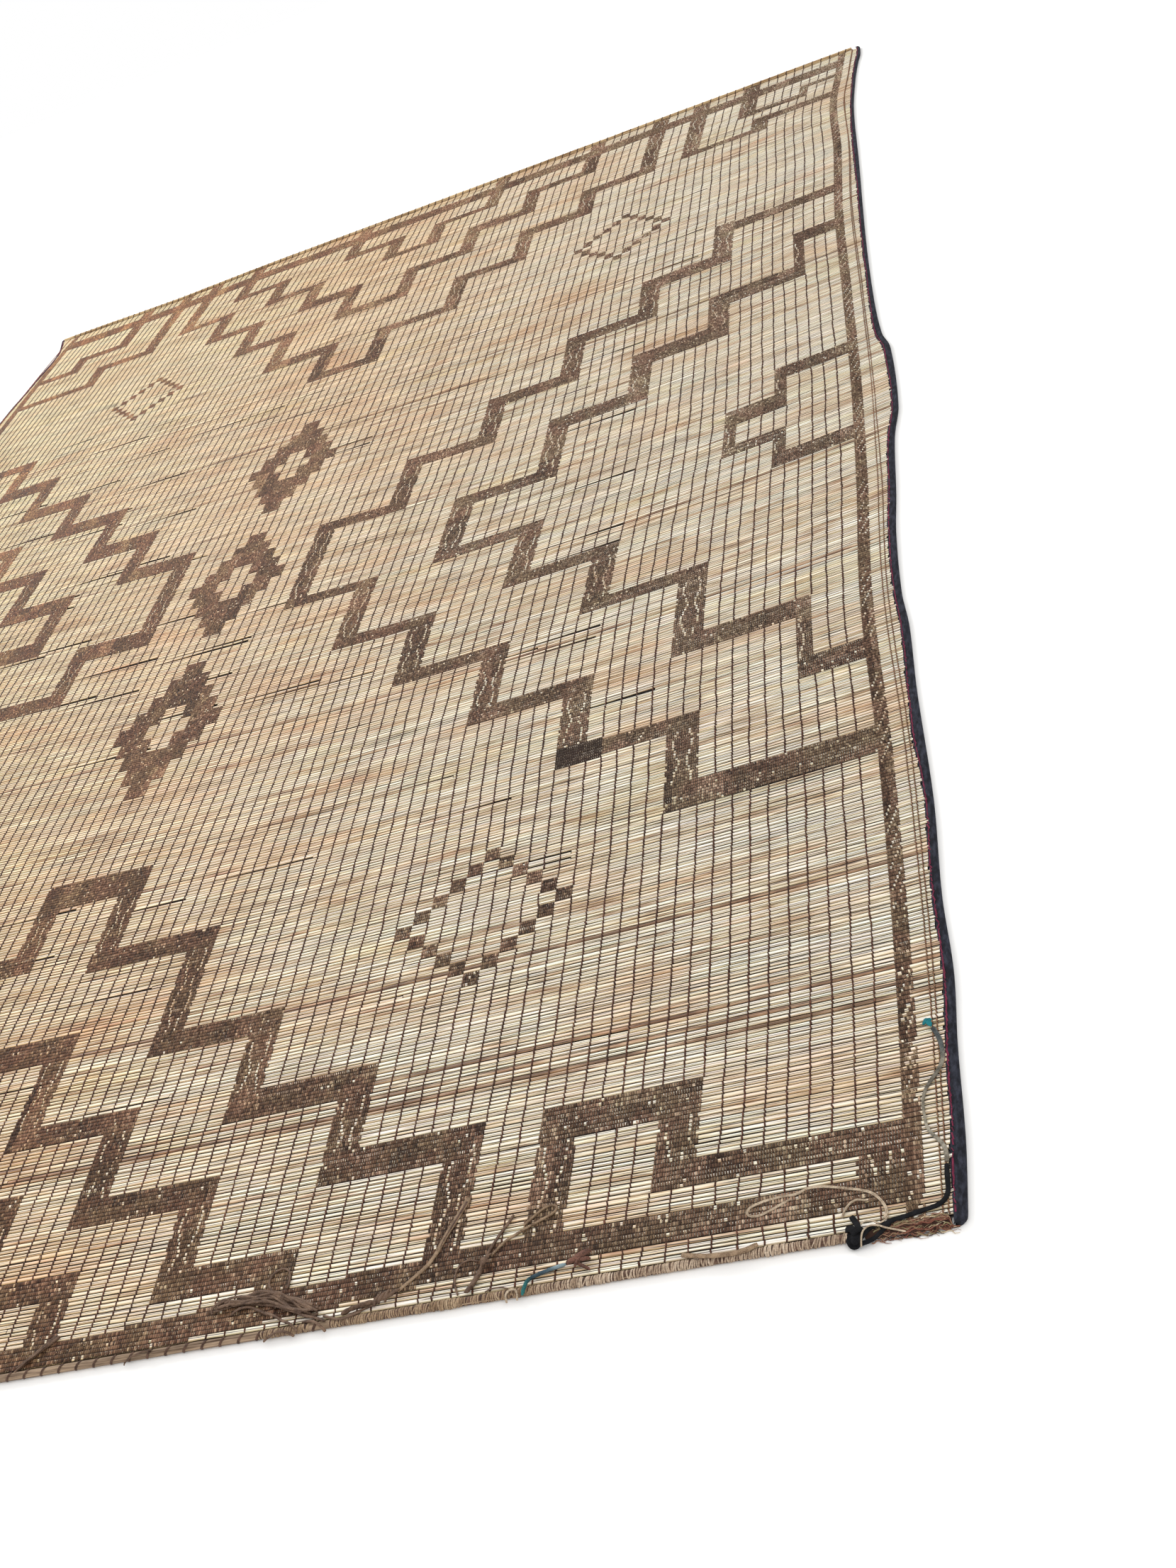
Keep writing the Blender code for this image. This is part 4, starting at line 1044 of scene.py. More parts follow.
panels = []
per_panel = math.ceil(count / PANELS)
for panel in range(PANELS):
    points, edges = [], []
    values = {"half": [], "low": [], "high": [], "tone": [], "grain": []}
    for k in range(panel * per_panel, min(count, (panel + 1) * per_panel)):
        d = (FIRST_ROW + k) * ROW_PITCH
        left = float(side(-1, row_y(d, -1.5))) + LEFT_COVER
        right = float(side(1, row_y(d, 1.5)) - lip_width(1, row_y(d, 1.5))) - short[k]
        inner = np.linspace(left + 2 * END_STEP, right - 2 * END_STEP, STATIONS - 4)[1:-1]
        x = np.concatenate([[left, left + END_STEP, left + 2 * END_STEP], inner,
                            [right - 2 * END_STEP, right - END_STEP, right]])
        one, two = (d + j * ROW_PITCH + pitch_error[k + j] + waver[k + j] for j in (0, 1))
        y = row_y((one + two) / 2, x)
        stretch = np.abs(row_y(one, x) - row_y(two, x))
        top = field_top(x, y) + levels[k]
        tone = np.full(STATIONS, tones[k])
        joined = np.stack([np.arange(STATIONS - 1), np.arange(1, STATIONS)], 1)
        joined += STATIONS * len(points)
        if k in spliced:
            cut = int(rng.integers(5, STATIONS - 5))
            tone[cut:] = np.clip(tones[k] + rng.normal() * 0.25, 0.1, 1.0)
            x[cut - 1] = x[cut] - SPLICE_GAP
            joined = np.delete(joined, cut - 1, 0)
        points.append(np.stack([x, y, np.zeros(STATIONS)], 1))
        edges.append(joined)
        values["half"].append((stretch - (open_gap[k] + open_gap[k + 1]) / 2) / 2)
        values["low"].append(REED_LOW + (top - REED_THICKNESS).clip(0.0, END_LIFT))
        values["high"].append(top)
        values["tone"].append(tone)
        values["grain"].append(np.stack([x + 3.7 * (k % 11), np.full(STATIONS, k * 0.0173),
                                         np.zeros(STATIONS)], 1))
    base = line_mesh(f"reed_lines_{panel + 1}", placed(np.concatenate(points)),
                     np.concatenate(edges),
                     {name: np.concatenate(rows) for name, rows in values.items()})
    reeds = run_tree(f"reeds_{panel + 1}", sweep_tree, base, {
        "Bevel": REED_BEVEL, "Across": (0.0, 1.0, 0.0), "Finish": reed_skin})
    panels.append(reeds)
    print(reeds.name, "has", len(reeds.data.polygons), "faces")

# %% [markdown]
# ## The stitches
#
# A stitch is the bit of thong that shows between two gaps: a low dome, pinched
# at its edges. One tree sets a four-sided dome on every point and reads how
# wide, long, high and slanted it is. Its "crest" is 1 at the top and 0 at the
# rim, so that the leather finish can paint shade on the rim.

# %% Node tree for the stitches
stitch_tree, given, result = new_tree("set_stitches", ())
dome = add_node(stitch_tree, "GeometryNodeMeshCone", {
    "Vertices": 4, "Side Segments": 1, "Radius Top": 0.0,
    "Radius Bottom": math.sqrt(0.5), "Depth": 1.0}, fill_type="NONE")
dome = add_node(stitch_tree, "GeometryNodeTransform", {
    "Geometry": dome, "Rotation": (0.0, 0.0, math.pi / 4)})
peak = add_node(stitch_tree, SEPARATE, (add_node(stitch_tree, POSITION),)).outputs["Z"]
dome = add_node(stitch_tree, STORE, {"Geometry": dome, "Name": "crest", "Value": peak})
lean = add_node(stitch_tree, READ_NAMED, {"Name": "lean"})
end_tree(stitch_tree, add_node(stitch_tree, "GeometryNodeInstanceOnPoints", {
    "Points": add_node(stitch_tree, "GeometryNodeMeshToPoints", {"Mesh": given["Geometry"]}),
    "Instance": dome, "Rotation": add_node(stitch_tree, COMBINE, {"Z": lean}),
    "Scale": add_node(stitch_tree, READ_NAMED, {"Name": "size"}, **VECTOR)}), given, result)

# %% [markdown]
# ### Single thongs
#
# Between the bands each thong is a single line. It wanders a little from reed
# to reed and each stitch leans the same way, because the thong crosses over
# its twin between the reeds. Two finer thongs run close together outside each
# border band.

# %% Sew the single thongs and the bands
STITCH_SINK = 0.0012
SINGLE_SIZE = (0.0029, 0.0078, 0.0024)
PAIR_WIDTH = 0.0019
BAND_SIZE = (0.97, 0.0075, 0.0024)
PAIR_AT = 0.0222
PAIR_SPREAD = ((0.0, 0.0009), (2.3, 0.0013), (3.4, 0.0018), (4.2, 0.0026), (4.6, 0.0026))
LEAN = 0.16
NEAR_ROWS = (500, 610)
BLOCK_ROWS, BLOCK_COLUMNS = 20, 12
WANDER, WANDER_ROWS, PAIR_WANDER = 0.00035, 25, 0.00012

rng = np.random.default_rng(5)


def sew(name, rows, lines, size, leans, tone, finish):
    """Set stitches in the panels, at rows and lines of the chart."""
    pieces = []
    d = (rows + 0.5) * ROW_PITCH
    x = line_x(d, lines)
    y = row_y(d, x)
    ahead = line_x(d + ROW_PITCH, lines) - line_x(d - ROW_PITCH, lines)
    values = {"lean": leans + np.arctan2(ahead, 2 * ROW_PITCH),
              "size": np.stack(np.broadcast_arrays(*size), 1), "tone": tone}
    points = placed(np.stack([x, y, field_top(x, y) - STITCH_SINK + size[2] / 2], 1))
    panel = np.clip((rows - FIRST_ROW) // per_panel, 0, PANELS - 1)
    for k in range(PANELS):
        there = panel == k
        base = line_mesh(f"{name}_points_{k + 1}", points[there], (),
                         {label: numbers[there] for label, numbers in values.items()})
        pieces.append(run_tree(f"{name}_{k + 1}", stitch_tree, base, {"Finish": finish}))
    print(name, "has", len(rows), "stitches")
    return pieces


# A single thong shows wherever no band lies beside its line
covered = chart > 0
edge_columns = (np.arange(LEFT_BORDER, RIGHT_BORDER + 1) - LEFT_BORDER) * COLUMNS
beside_left = covered[:, np.maximum(edge_columns - 1, 0)] & (edge_columns > 0)
beside_right = covered[:, np.minimum(edge_columns, WIDE - 1)] & (edge_columns < WIDE)
single = ~(beside_left | beside_right)
single[:, [0, -1]] = False
single[:FIRST_ROW] = single[LAST_ROW:] = False
rows, places = np.nonzero(single)
n = len(rows)
wander = np.cumsum(rng.normal(size=single.shape) * WANDER, 0)
mean = np.ones(WANDER_ROWS) / WANDER_ROWS
wander -= np.apply_along_axis(np.convolve, 0, wander, mean, "same")
lines = places + LEFT_BORDER + wander[rows, places] / CELL_WIDTH
weight = 1.0 + 0.16 * rng.normal(size=n).clip(-2, 2)
line_tone = rng.random(single.shape[1])[places]
near = np.clip((rows - NEAR_ROWS[0]) / (NEAR_ROWS[1] - NEAR_ROWS[0]), 0, 1)
tone = np.clip(0.13 + 0.2 * line_tone + 0.14 * near + 0.12 * rng.normal(size=n), 0, 1)
weight = weight * (1 - 0.18 * near)

# Two fine, worn thongs run outside each border band
pair_rows = np.arange(FIRST_ROW, LAST_ROW)
spread = through(PAIR_SPREAD, pair_rows * ROW_PITCH)
for twin in (-1, 1):
    out = PAIR_AT + twin * spread
    for line in (RIGHT_BORDER + out / BORDER_CELL, LEFT_BORDER - out / CELL_WIDTH):
        rows = np.concatenate([rows, pair_rows])
        wavy = np.cumsum(rng.normal(size=len(pair_rows))) * PAIR_WANDER / CELL_WIDTH
        lines = np.concatenate([lines, line + wavy])
        tone = np.concatenate([tone, 0.72 + 0.25 * rng.random(len(pair_rows))])
        weight = np.concatenate([weight, np.full(len(pair_rows), PAIR_WIDTH / SINGLE_SIZE[0])])
singles = sew("single_thongs", rows, lines, (SINGLE_SIZE[0] * weight, *SINGLE_SIZE[1:]),
              LEAN + 0.1 * rng.normal(size=len(rows)), tone, single_leather)

# The bands are worn unevenly, in cells and in broad blocks
shown = covered & ~specks
shown[:FIRST_ROW] = shown[LAST_ROW:] = False
rows, columns = np.nonzero(shown)
n = len(rows)
cell_tone = 0.5 + 0.16 * np.repeat(rng.normal(size=(ROWS + 1, WIDE // COLUMNS)), COLUMNS, 1)
block = rng.normal(size=(ROWS // BLOCK_ROWS + 1, WIDE // BLOCK_COLUMNS + 1))
tone = (0.52 - 0.17 * rows / ROWS + 0.1 * block[rows // BLOCK_ROWS, columns // BLOCK_COLUMNS]
        + 0.06 * cell_tone[rows, columns] + 0.15 * rng.normal(size=n))
tone[rng.random(n) < 0.05] += 0.3
tone[chart[rows, columns] == DARK] = 0.0
bands = sew("band_thongs", rows, LEFT_BORDER + (columns + 0.5) / COLUMNS,
            (CELL_WIDTH / COLUMNS * BAND_SIZE[0] * (1 + 0.08 * rng.normal(size=n)),
             BAND_SIZE[1], BAND_SIZE[2] * (1 + 0.12 * rng.normal(size=n))),
            LEAN + 0.08 * rng.normal(size=n), np.clip(tone, 0, 1), band_leather)

# %% [markdown]
# ## The cloth strip on the long sides
#
# A charcoal cotton strip is folded over the reeds' ends and sewn down with
# crimson thread. Its inner edge is not quite straight, it puckers at every
# stitch, and it is dusty on top. The section is the CAD's folded strip, swept
# at a finer step.

# %% Cloth strip
CLOTH_STEP = 0.008
SHOWN_CORNER = 0.011
CLOTH_TOP = BINDING_HEIGHT - 0.0004
ROUND_OFF = 0.0022
END_RING = 0.0015
RAGGED, PUCKER, PUFF = 0.0006, 0.0004, 0.0005
SEWING_STEP = 0.0095
SEWING_IN = 0.003
SEWING_SIZE = (0.0019, 0.0092, 0.0016)

cloth, tree, shader = new_finish("charcoal_cotton_strip", 0.88)
place = add_node(tree, PLACE).outputs["Object"]
stretched = add_node(tree, "ShaderNodeMapping", {"Vector": place, "Scale": (1.0, 0.35, 1.0)})
dust = add_node(tree, NOISE, {
    "Vector": stretched, "Scale": 160.0, "Detail": 4.0, "Roughness": 0.65})
threads = add_node(tree, NOISE, {"Vector": place, "Scale": 1400.0, "Detail": 1.0})
dusty = add_node(tree, RANGE, (dust, 0.42, 0.72))
cloth_colour = add_node(tree, MIX, (dusty, "#191A20", "#3A3C47"), **BLEND)
weave = add_node(tree, RANGE, (threads, 0.3, 0.7, 0.75, 1.2))
cloth_colour = add_node(tree, MIX, (1.0, cloth_colour, weave), **MULTIPLY)
end_finish(tree, shader, cloth_colour, threads, 0.0003)
crimson = fibre_finish("crimson_cotton_thread", "#4C1226", "#7C2E46", 0.8, 0.7)


def corner_cut(y):
    """Return how far a rounded corner of the cloth stands in from the side."""
    to_end = np.clip(np.minimum(y - NEAR_END, FAR_END - y), 0.0, SHOWN_CORNER)
    return SHOWN_CORNER - np.sqrt(SHOWN_CORNER**2 - (SHOWN_CORNER - to_end) ** 2)


def cloth_strip(name, node, hand, start, end, seed):
    """Sweep one length of the folded strip."""
    rng = np.random.default_rng(seed)
    near_ends = END_RING * np.arange(1, 4)
    y = np.unique(np.concatenate([np.arange(start, end, CLOTH_STEP), [end],
                                  start + near_ends, end - near_ends]))
    outer = side(hand, y) - hand * corner_cut(y)
    ragged = np.convolve(rng.normal(size=len(y)), np.ones(3) / 3, "same") * RAGGED
    wide = np.maximum(lip_width(hand, y), corner_cut(y) + NARROWEST_LIP)
    inner = side(hand, y) - hand * (wide + ragged)
    pucker = PUCKER * np.sin(2 * np.pi * y / SEWING_STEP) + rng.normal(size=len(y)) * 0.00012
    puff = PUFF * np.sin(23.0 * y + hand) + rng.normal(size=len(y)) * 0.0002
    folded = outer - hand * CLOTH_THICKNESS
    section = (
        (inner, 0.0), (outer - hand * ROUND_OFF, 0.0), (outer, ROUND_OFF),
        (outer, CLOTH_TOP - ROUND_OFF + puff), (outer - hand * ROUND_OFF, CLOTH_TOP + puff),
        ((inner + outer) / 2, CLOTH_TOP - 0.0002 + puff),
        (inner + hand * 0.003, CLOTH_TOP - 0.0006 + pucker),
        (inner, CLOTH_TOP - 0.0009 + pucker),
        (inner, CLOTH_TOP - CLOTH_THICKNESS - 0.0007 + pucker),
        (folded, CLOTH_TOP - CLOTH_THICKNESS), (folded, CLOTH_THICKNESS),
        (inner, CLOTH_THICKNESS))
    rings = np.stack([np.stack(np.broadcast_arrays(x, y, z), 1) for x, z in section], 1)
    add_piece(name, [skin(placed(rings[:, ::-hand]))], cloth, "binding", node)


seam = NEAR_END + SEAM_AT
cloth_strip("cloth_strip_right_near", "binding_right_near", 1, NEAR_END, seam - GAP / 2, 1)
cloth_strip("cloth_strip_right_far", "binding_right_far", 1, seam + GAP / 2, FAR_END, 2)
cloth_strip("cloth_strip_left", "binding_left", -1, NEAR_END, FAR_END, 3)

# Crimson running stitches, nearly end to end along the strip's inner edge
rng = np.random.default_rng(11)
y = np.arange(NEAR_END + 0.02, FAR_END - 0.01, SEWING_STEP)
y = np.concatenate([y, y]) + rng.normal(size=2 * len(y)) * 0.0006
hand = np.repeat([1.0, -1.0], len(y) // 2)
x = np.where(hand > 0, side(1, y) - lip_width(1, y), side(-1, y) + lip_width(-1, y))
x += hand * (SEWING_IN + 0.0005 * np.sin(31.0 * y))
n = len(y)
run_tree("crimson_sewing", stitch_tree, line_mesh(
    "sewing_points", placed(np.stack([x, y, np.full(n, BINDING_HEIGHT - 0.0006)], 1)), (), {
        "lean": hand * (0.10 + 0.14 * rng.normal(size=n)),
        "size": np.tile(SEWING_SIZE, (n, 1)) * (1 + 0.15 * rng.normal(size=(n, 1))),
        "tone": rng.random(n)}), {"Finish": crimson})
print("Crimson stitches:", n)

# %% [markdown]
# ## The lashed bundles
#
# At both short ends a bundle of thin reeds is lashed to the mat. Most of it
# shows the reeds under one slanted lashing to each cell; in some stretches the
# thong is wound so closely that it hides them.

# %% Bundles
ROD_RADIUS = 0.0021
EDGE_REED_RADIUS = 0.0023
WIND_STEP = 0.0029
RING_SIDES = 10
ROD_POINTS = 70
WINDING_ENDS_AT = 1.366
STRAW_STRETCH = (1.02, 0.96)
NEAR_RING = (0.0042, 0.0036, 0.0007)
FAR_RING = (0.0034, 0.0026, 0.0006)
bundle_reed = fibre_finish("bundled_reed_stem", "#8A6A48", "#D8BE94", 2.2, 0.6,
                           (0.06, 1.0, 1.0))
handled_reed = fibre_finish("handled_reed_stem", "#4E3C2E", "#A68E76", 2.2, 0.6,
                            (0.06, 1.0, 1.0))
dark_lashing = fibre_finish("dark_lashing_thong", "#2E201A", "#6A5042", 1.2, 0.6)
winding_leather, tree, shader = new_finish("wound_tan_thong", 0.6)
tone = add_node(tree, READ, attribute_name="tone").outputs["Fac"]
wound_colour = add_node(tree, RAMP, (tone,), (
    (0.0, "#846E5A"), (0.45, "#AC9680"), (1.0, "#D0BEA8")))
place = add_node(tree, PLACE).outputs["Object"]
scuff = add_node(tree, NOISE, {"Vector": place, "Scale": 420.0, "Detail": 3.0})
straw = add_node(tree, RANGE, (add_node(tree, SEPARATE, (place,)), *STRAW_STRETCH))
straw = add_node(tree, MIX, (straw, "#FFFFFF", "#DDD4C6"), **BLEND)
for by in (add_node(tree, RANGE, (scuff, 0.35, 0.65, 0.66, 1.16)), straw):
    wound_colour = add_node(tree, MIX, (1.0, wound_colour, by), **MULTIPLY)
end_finish(tree, shader, wound_colour, scuff, 0.0003)


def ring_band(x, y, z, radius, width, slant, thick):
    """Skin one turn of thong round a bundle that runs across the mat."""
    points, faces = [], []
    for i, turn in enumerate(2 * np.pi * np.arange(RING_SIDES) / RING_SIDES):
        out = np.array([slant * math.sin(turn + 0.6), math.cos(turn), math.sin(turn)])
        for k, (across, up) in enumerate(((-0.5, 0.0), (-0.25, 1.0), (0.25, 1.0), (0.5, 0.0))):
            points.append((x + out[0] + across * width,
                           y + out[1] * (radius + up * thick),
                           max(0.0002 + 0.0002 * up, z + out[2] * (radius + up * thick))))
            here, after = i * 4, (i + 1) % RING_SIDES * 4
            faces.append((here + k, after + k, after + (k + 1) % 4, here + (k + 1) % 4))
    return placed(points), faces


def far_sag(x):
    """Return how far the far edge sags towards the near end at x."""
    return SAG * np.exp(-((x - SAG_AT) / SAG_WIDTH) ** 2)


def rods(start, end, line, radius, seed, sag=0):
    """Skin the thin reeds of a bundle, laid round its middle."""
    rng = np.random.default_rng(seed)
    parts = []
    x = np.linspace(start, end, ROD_POINTS)
    for turn in np.arange(7) * 2 * np.pi / 7 + 0.3:
        out = (radius - ROD_RADIUS * 0.95) * (1 + 0.05 * rng.normal(size=ROD_POINTS))
        turn = turn + 0.15 * np.sin(5 * x)
        z = np.maximum(radius + out * np.sin(turn), ROD_RADIUS)
        path = placed(np.stack([x, line + out * np.cos(turn) - sag * far_sag(x), z], 1))
        parts.append(follow(path, oval(ROD_RADIUS, ROD_RADIUS), 8))
    return parts


def tube(start, end, y, z, radius):
    """Skin a plain round tube that lies across the mat."""
    path = placed([(x, y, z) for x in np.linspace(start, end, 60)])
    return follow(path, oval(radius, radius), 10)


# The near bundle: its reeds, the closely wound thong and the slanted lashing
start, end = NEAR_BUNDLE_ENDS
edge_reed = tube(start, end, FIELD_NEAR - EDGE_REED_RADIUS, EDGE_REED_RADIUS, EDGE_REED_RADIUS)
add_piece("near_bundle_reeds",
          [edge_reed] + rods(start, end, BUNDLE_LINE, SHOWN_RADIUS - 0.0003, 31),
          handled_reed, "bundle", "near_bundle")
rng = np.random.default_rng(33)
turns = []
stretches = WOUND_STRETCHES[:-1] + ((WOUND_STRETCHES[-1][0], WINDING_ENDS_AT),)
for first, last in stretches:
    for x in np.arange(first, last, WIND_STEP):
        lump = max(0.0, math.sin(75 * x) + 0.6 * math.sin(31 * x) - 0.8)
        radius = SHOWN_RADIUS - 0.0005 + 0.00025 * (math.sin(61 * x) + rng.normal()) + 0.001 * lump
        turns.append(ring_band(x + 0.0004 * rng.normal(), BUNDLE_LINE, SHOWN_RADIUS, radius,
                               WIND_STEP * rng.uniform(0.8, 1.1),
                               0.0012 + 0.001 * rng.normal(), 0.0009))
lengths_of_thong = np.repeat(rng.beta(1.6, 1.8, len(turns) // 4 + 1), 4)[:len(turns)]
add_piece("bundle_winding", turns, winding_leather, "thong", tone=np.repeat(
    0.55 * rng.beta(2.0, 2.2, len(turns)) + 0.45 * lengths_of_thong, 4 * RING_SIDES))
print("Turns of thong on the near bundle:", len(turns))
turns = [tube(first, last, BUNDLE_LINE, SHOWN_RADIUS, SHOWN_RADIUS - 0.0001)
         for first, last in stretches]
for line in range(LEFT_BORDER, RIGHT_BORDER + 1):
    x = float(line_x(MAT_LENGTH - 0.01, line))
    wound = any(first <= x <= last for first, last in WOUND_STRETCHES)
    if not wound and start + 0.004 < x < end - 0.006:
        turns.append(ring_band(x, BUNDLE_LINE, SHOWN_RADIUS, SHOWN_RADIUS, *NEAR_RING))
add_piece("near_lashing", turns, dark_lashing, "thong")

# The far bundle: its reeds and the slanted lashing
start, end = FAR_BUNDLE_ENDS
middle = FAR_END - BUNDLE_RADIUS
add_piece("far_bundle_reeds", rods(start, end, middle, BUNDLE_RADIUS - 0.0003, 32, 1),
          bundle_reed, "bundle", "far_bundle")
turns = []
for line in range(LEFT_BORDER, RIGHT_BORDER + 1):
    x = float(line_x(0.01, line))
    if start + 0.004 < x < end - 0.004:
        turns.append(ring_band(x, middle - float(far_sag(x)), BUNDLE_RADIUS,
                               BUNDLE_RADIUS - 0.0002, *FAR_RING))
add_piece("far_lashing", turns, dark_lashing, "thong")
print("Turns of thong on the far bundle:", len(turns))

# %% [markdown]
# ## The frayed corner
#
# Between the bundle and the corner the edge ends in loose, curly fibres: straw,
# olive, reddish brown and dark. Each fibre is a thin tube on its own curve.

# %% Frayed fibres
FIBRES = 170
FIBRE_POINTS = 14
MASS_POINTS = 30
CORE_SHADE_TONE = 0.2
FIBRE_LENGTHS, FIBRE_RADII = (0.014, 0.046), (0.0004, 0.0011)
CURL_SIZES, CURL_PITCHES = (0.0006, 0.0024), (0.009, 0.022)
fray_fibre, tree, shader = new_finish("frayed_plant_fibre", 0.85)
tone = add_node(tree, READ, attribute_name="tone").outputs["Fac"]
end_finish(tree, shader, add_node(tree, RAMP, (tone,), (
    (0.0, "#1E1714"), (0.24, "#3E2A22"), (0.45, "#764A3C"), (0.6, "#946F5C"),
    (0.78, "#867E5C"), (0.9, "#B49C80"), (1.0, "#D6C8A8"))))
rng = np.random.default_rng(41)
fibres = []
share = np.linspace(0, 1, FIBRE_POINTS)
for k in range(FIBRES):
    start = rng.uniform(FRAY_FROM + 0.002, FRAY_END - 0.004)
    long = min(rng.uniform(*FIBRE_LENGTHS), FRAY_TIP - start)
    curl = rng.uniform(*CURL_SIZES) * np.sin(
        share * long * 2 * np.pi / rng.uniform(*CURL_PITCHES) + rng.uniform(0, 6))
    x = start + share * long + rng.uniform(-0.0008, 0.0008, FIBRE_POINTS)
    y = FRAY_LINE - 0.001 + rng.uniform(-0.0095, 0.0095) + rng.normal() * 0.004 * share + curl
    to_cloth = np.clip((x - FRAY_END + 0.001) / 0.005, 0, 1)
    y = np.minimum(y, (FRAY_LINE + 0.012) * (1 - to_cloth) + (NEAR_END - 0.0012) * to_cloth)
    y = np.maximum(y, NEAR_END - 0.0085)
    off = np.clip((y - FRAY_LINE) / (1.3 * FRAY_HALF_WIDTH), -1, 1)
    z = 0.001 + 1.7 * FRAY_HALF_HEIGHT * np.sqrt(1 - off**2) * rng.uniform(0.15, 1.0)
    z = np.where(y > FIELD_NEAR - 0.001, np.maximum(z, field_top(x, y) + 0.0009), z)
    z = np.convolve(np.pad(z, 1, mode="edge"), (0.25, 0.5, 0.25), "valid")
    radius = rng.uniform(*FIBRE_RADII)
    fibres.append(follow(placed(np.stack([x, y, z], 1)), oval(radius, radius, 0.6), 5))


def matted(share, turns, s):
    """Section of the matted core under the fibres, whose dark tone is painted shade."""
    return ((0.0068 + 0.0005 * math.sin(500 * s)) * np.cos(turns),
            (0.0036 - 0.0012 * share) * (1 + 0.1 * np.sin(3 * turns + 300 * s)) * np.sin(turns))


x = np.linspace(FRAY_FROM, FRAY_END + 0.003, MASS_POINTS)
y = FRAY_LINE + 0.0006 * np.sin(160 * x) - 0.0006
shaded_core = follow(placed(np.stack([x, y, np.full(MASS_POINTS, 0.0042)], 1)), matted, 18)
tone = np.repeat(rng.beta(1.6, 1.6, FIBRES), 5 * FIBRE_POINTS)
# The core's dark tone is painted shade in the depth of the fray
add_piece("frayed_fibres", fibres + [shaded_core], fray_fibre, "fray", "frayed_edge",
          tone=np.concatenate([tone, np.full(len(shaded_core[0]), CORE_SHADE_TONE)]))
print("Fibres:", FIBRES)

# %% [markdown]
# ## Knots
#
# A knot is strands that pass over and round each other. Each one here is a few
# short lengths of the same strip, bent over the knot's core, so that the light
# catches the folds between them.

# %% Knots


def bent_strip(x, y, z, along, half_length, rise, width, thick):
    """Skin a short strip that arches over a knot, in the direction along."""
    t = np.linspace(-1, 1, 13)
    path = placed(np.stack([x + math.cos(along) * half_length * t,
                            y + math.sin(along) * half_length * t,
                            z + rise * np.sqrt(np.clip(1 - t**2, 0, 1))], 1))
    return follow(path, lambda share, turns, s: (
        width / 2 * math.sqrt(max(0.08, 1 - (2 * share - 1) ** 4)) * np.cos(turns),
        thick / 2 * np.sin(turns)), 12)


def strand(width, thick, *route):
    """Skin a flat strand along places with heights, or a twisted one of no thickness."""
    path = placed([tuple(point) for point in spline_points(route, 0.0012)])
    section = strip(width, width, thick, 0.15, 0.85) if thick else twisted(width, 2, 3.0)
    return follow(path, section, 12)


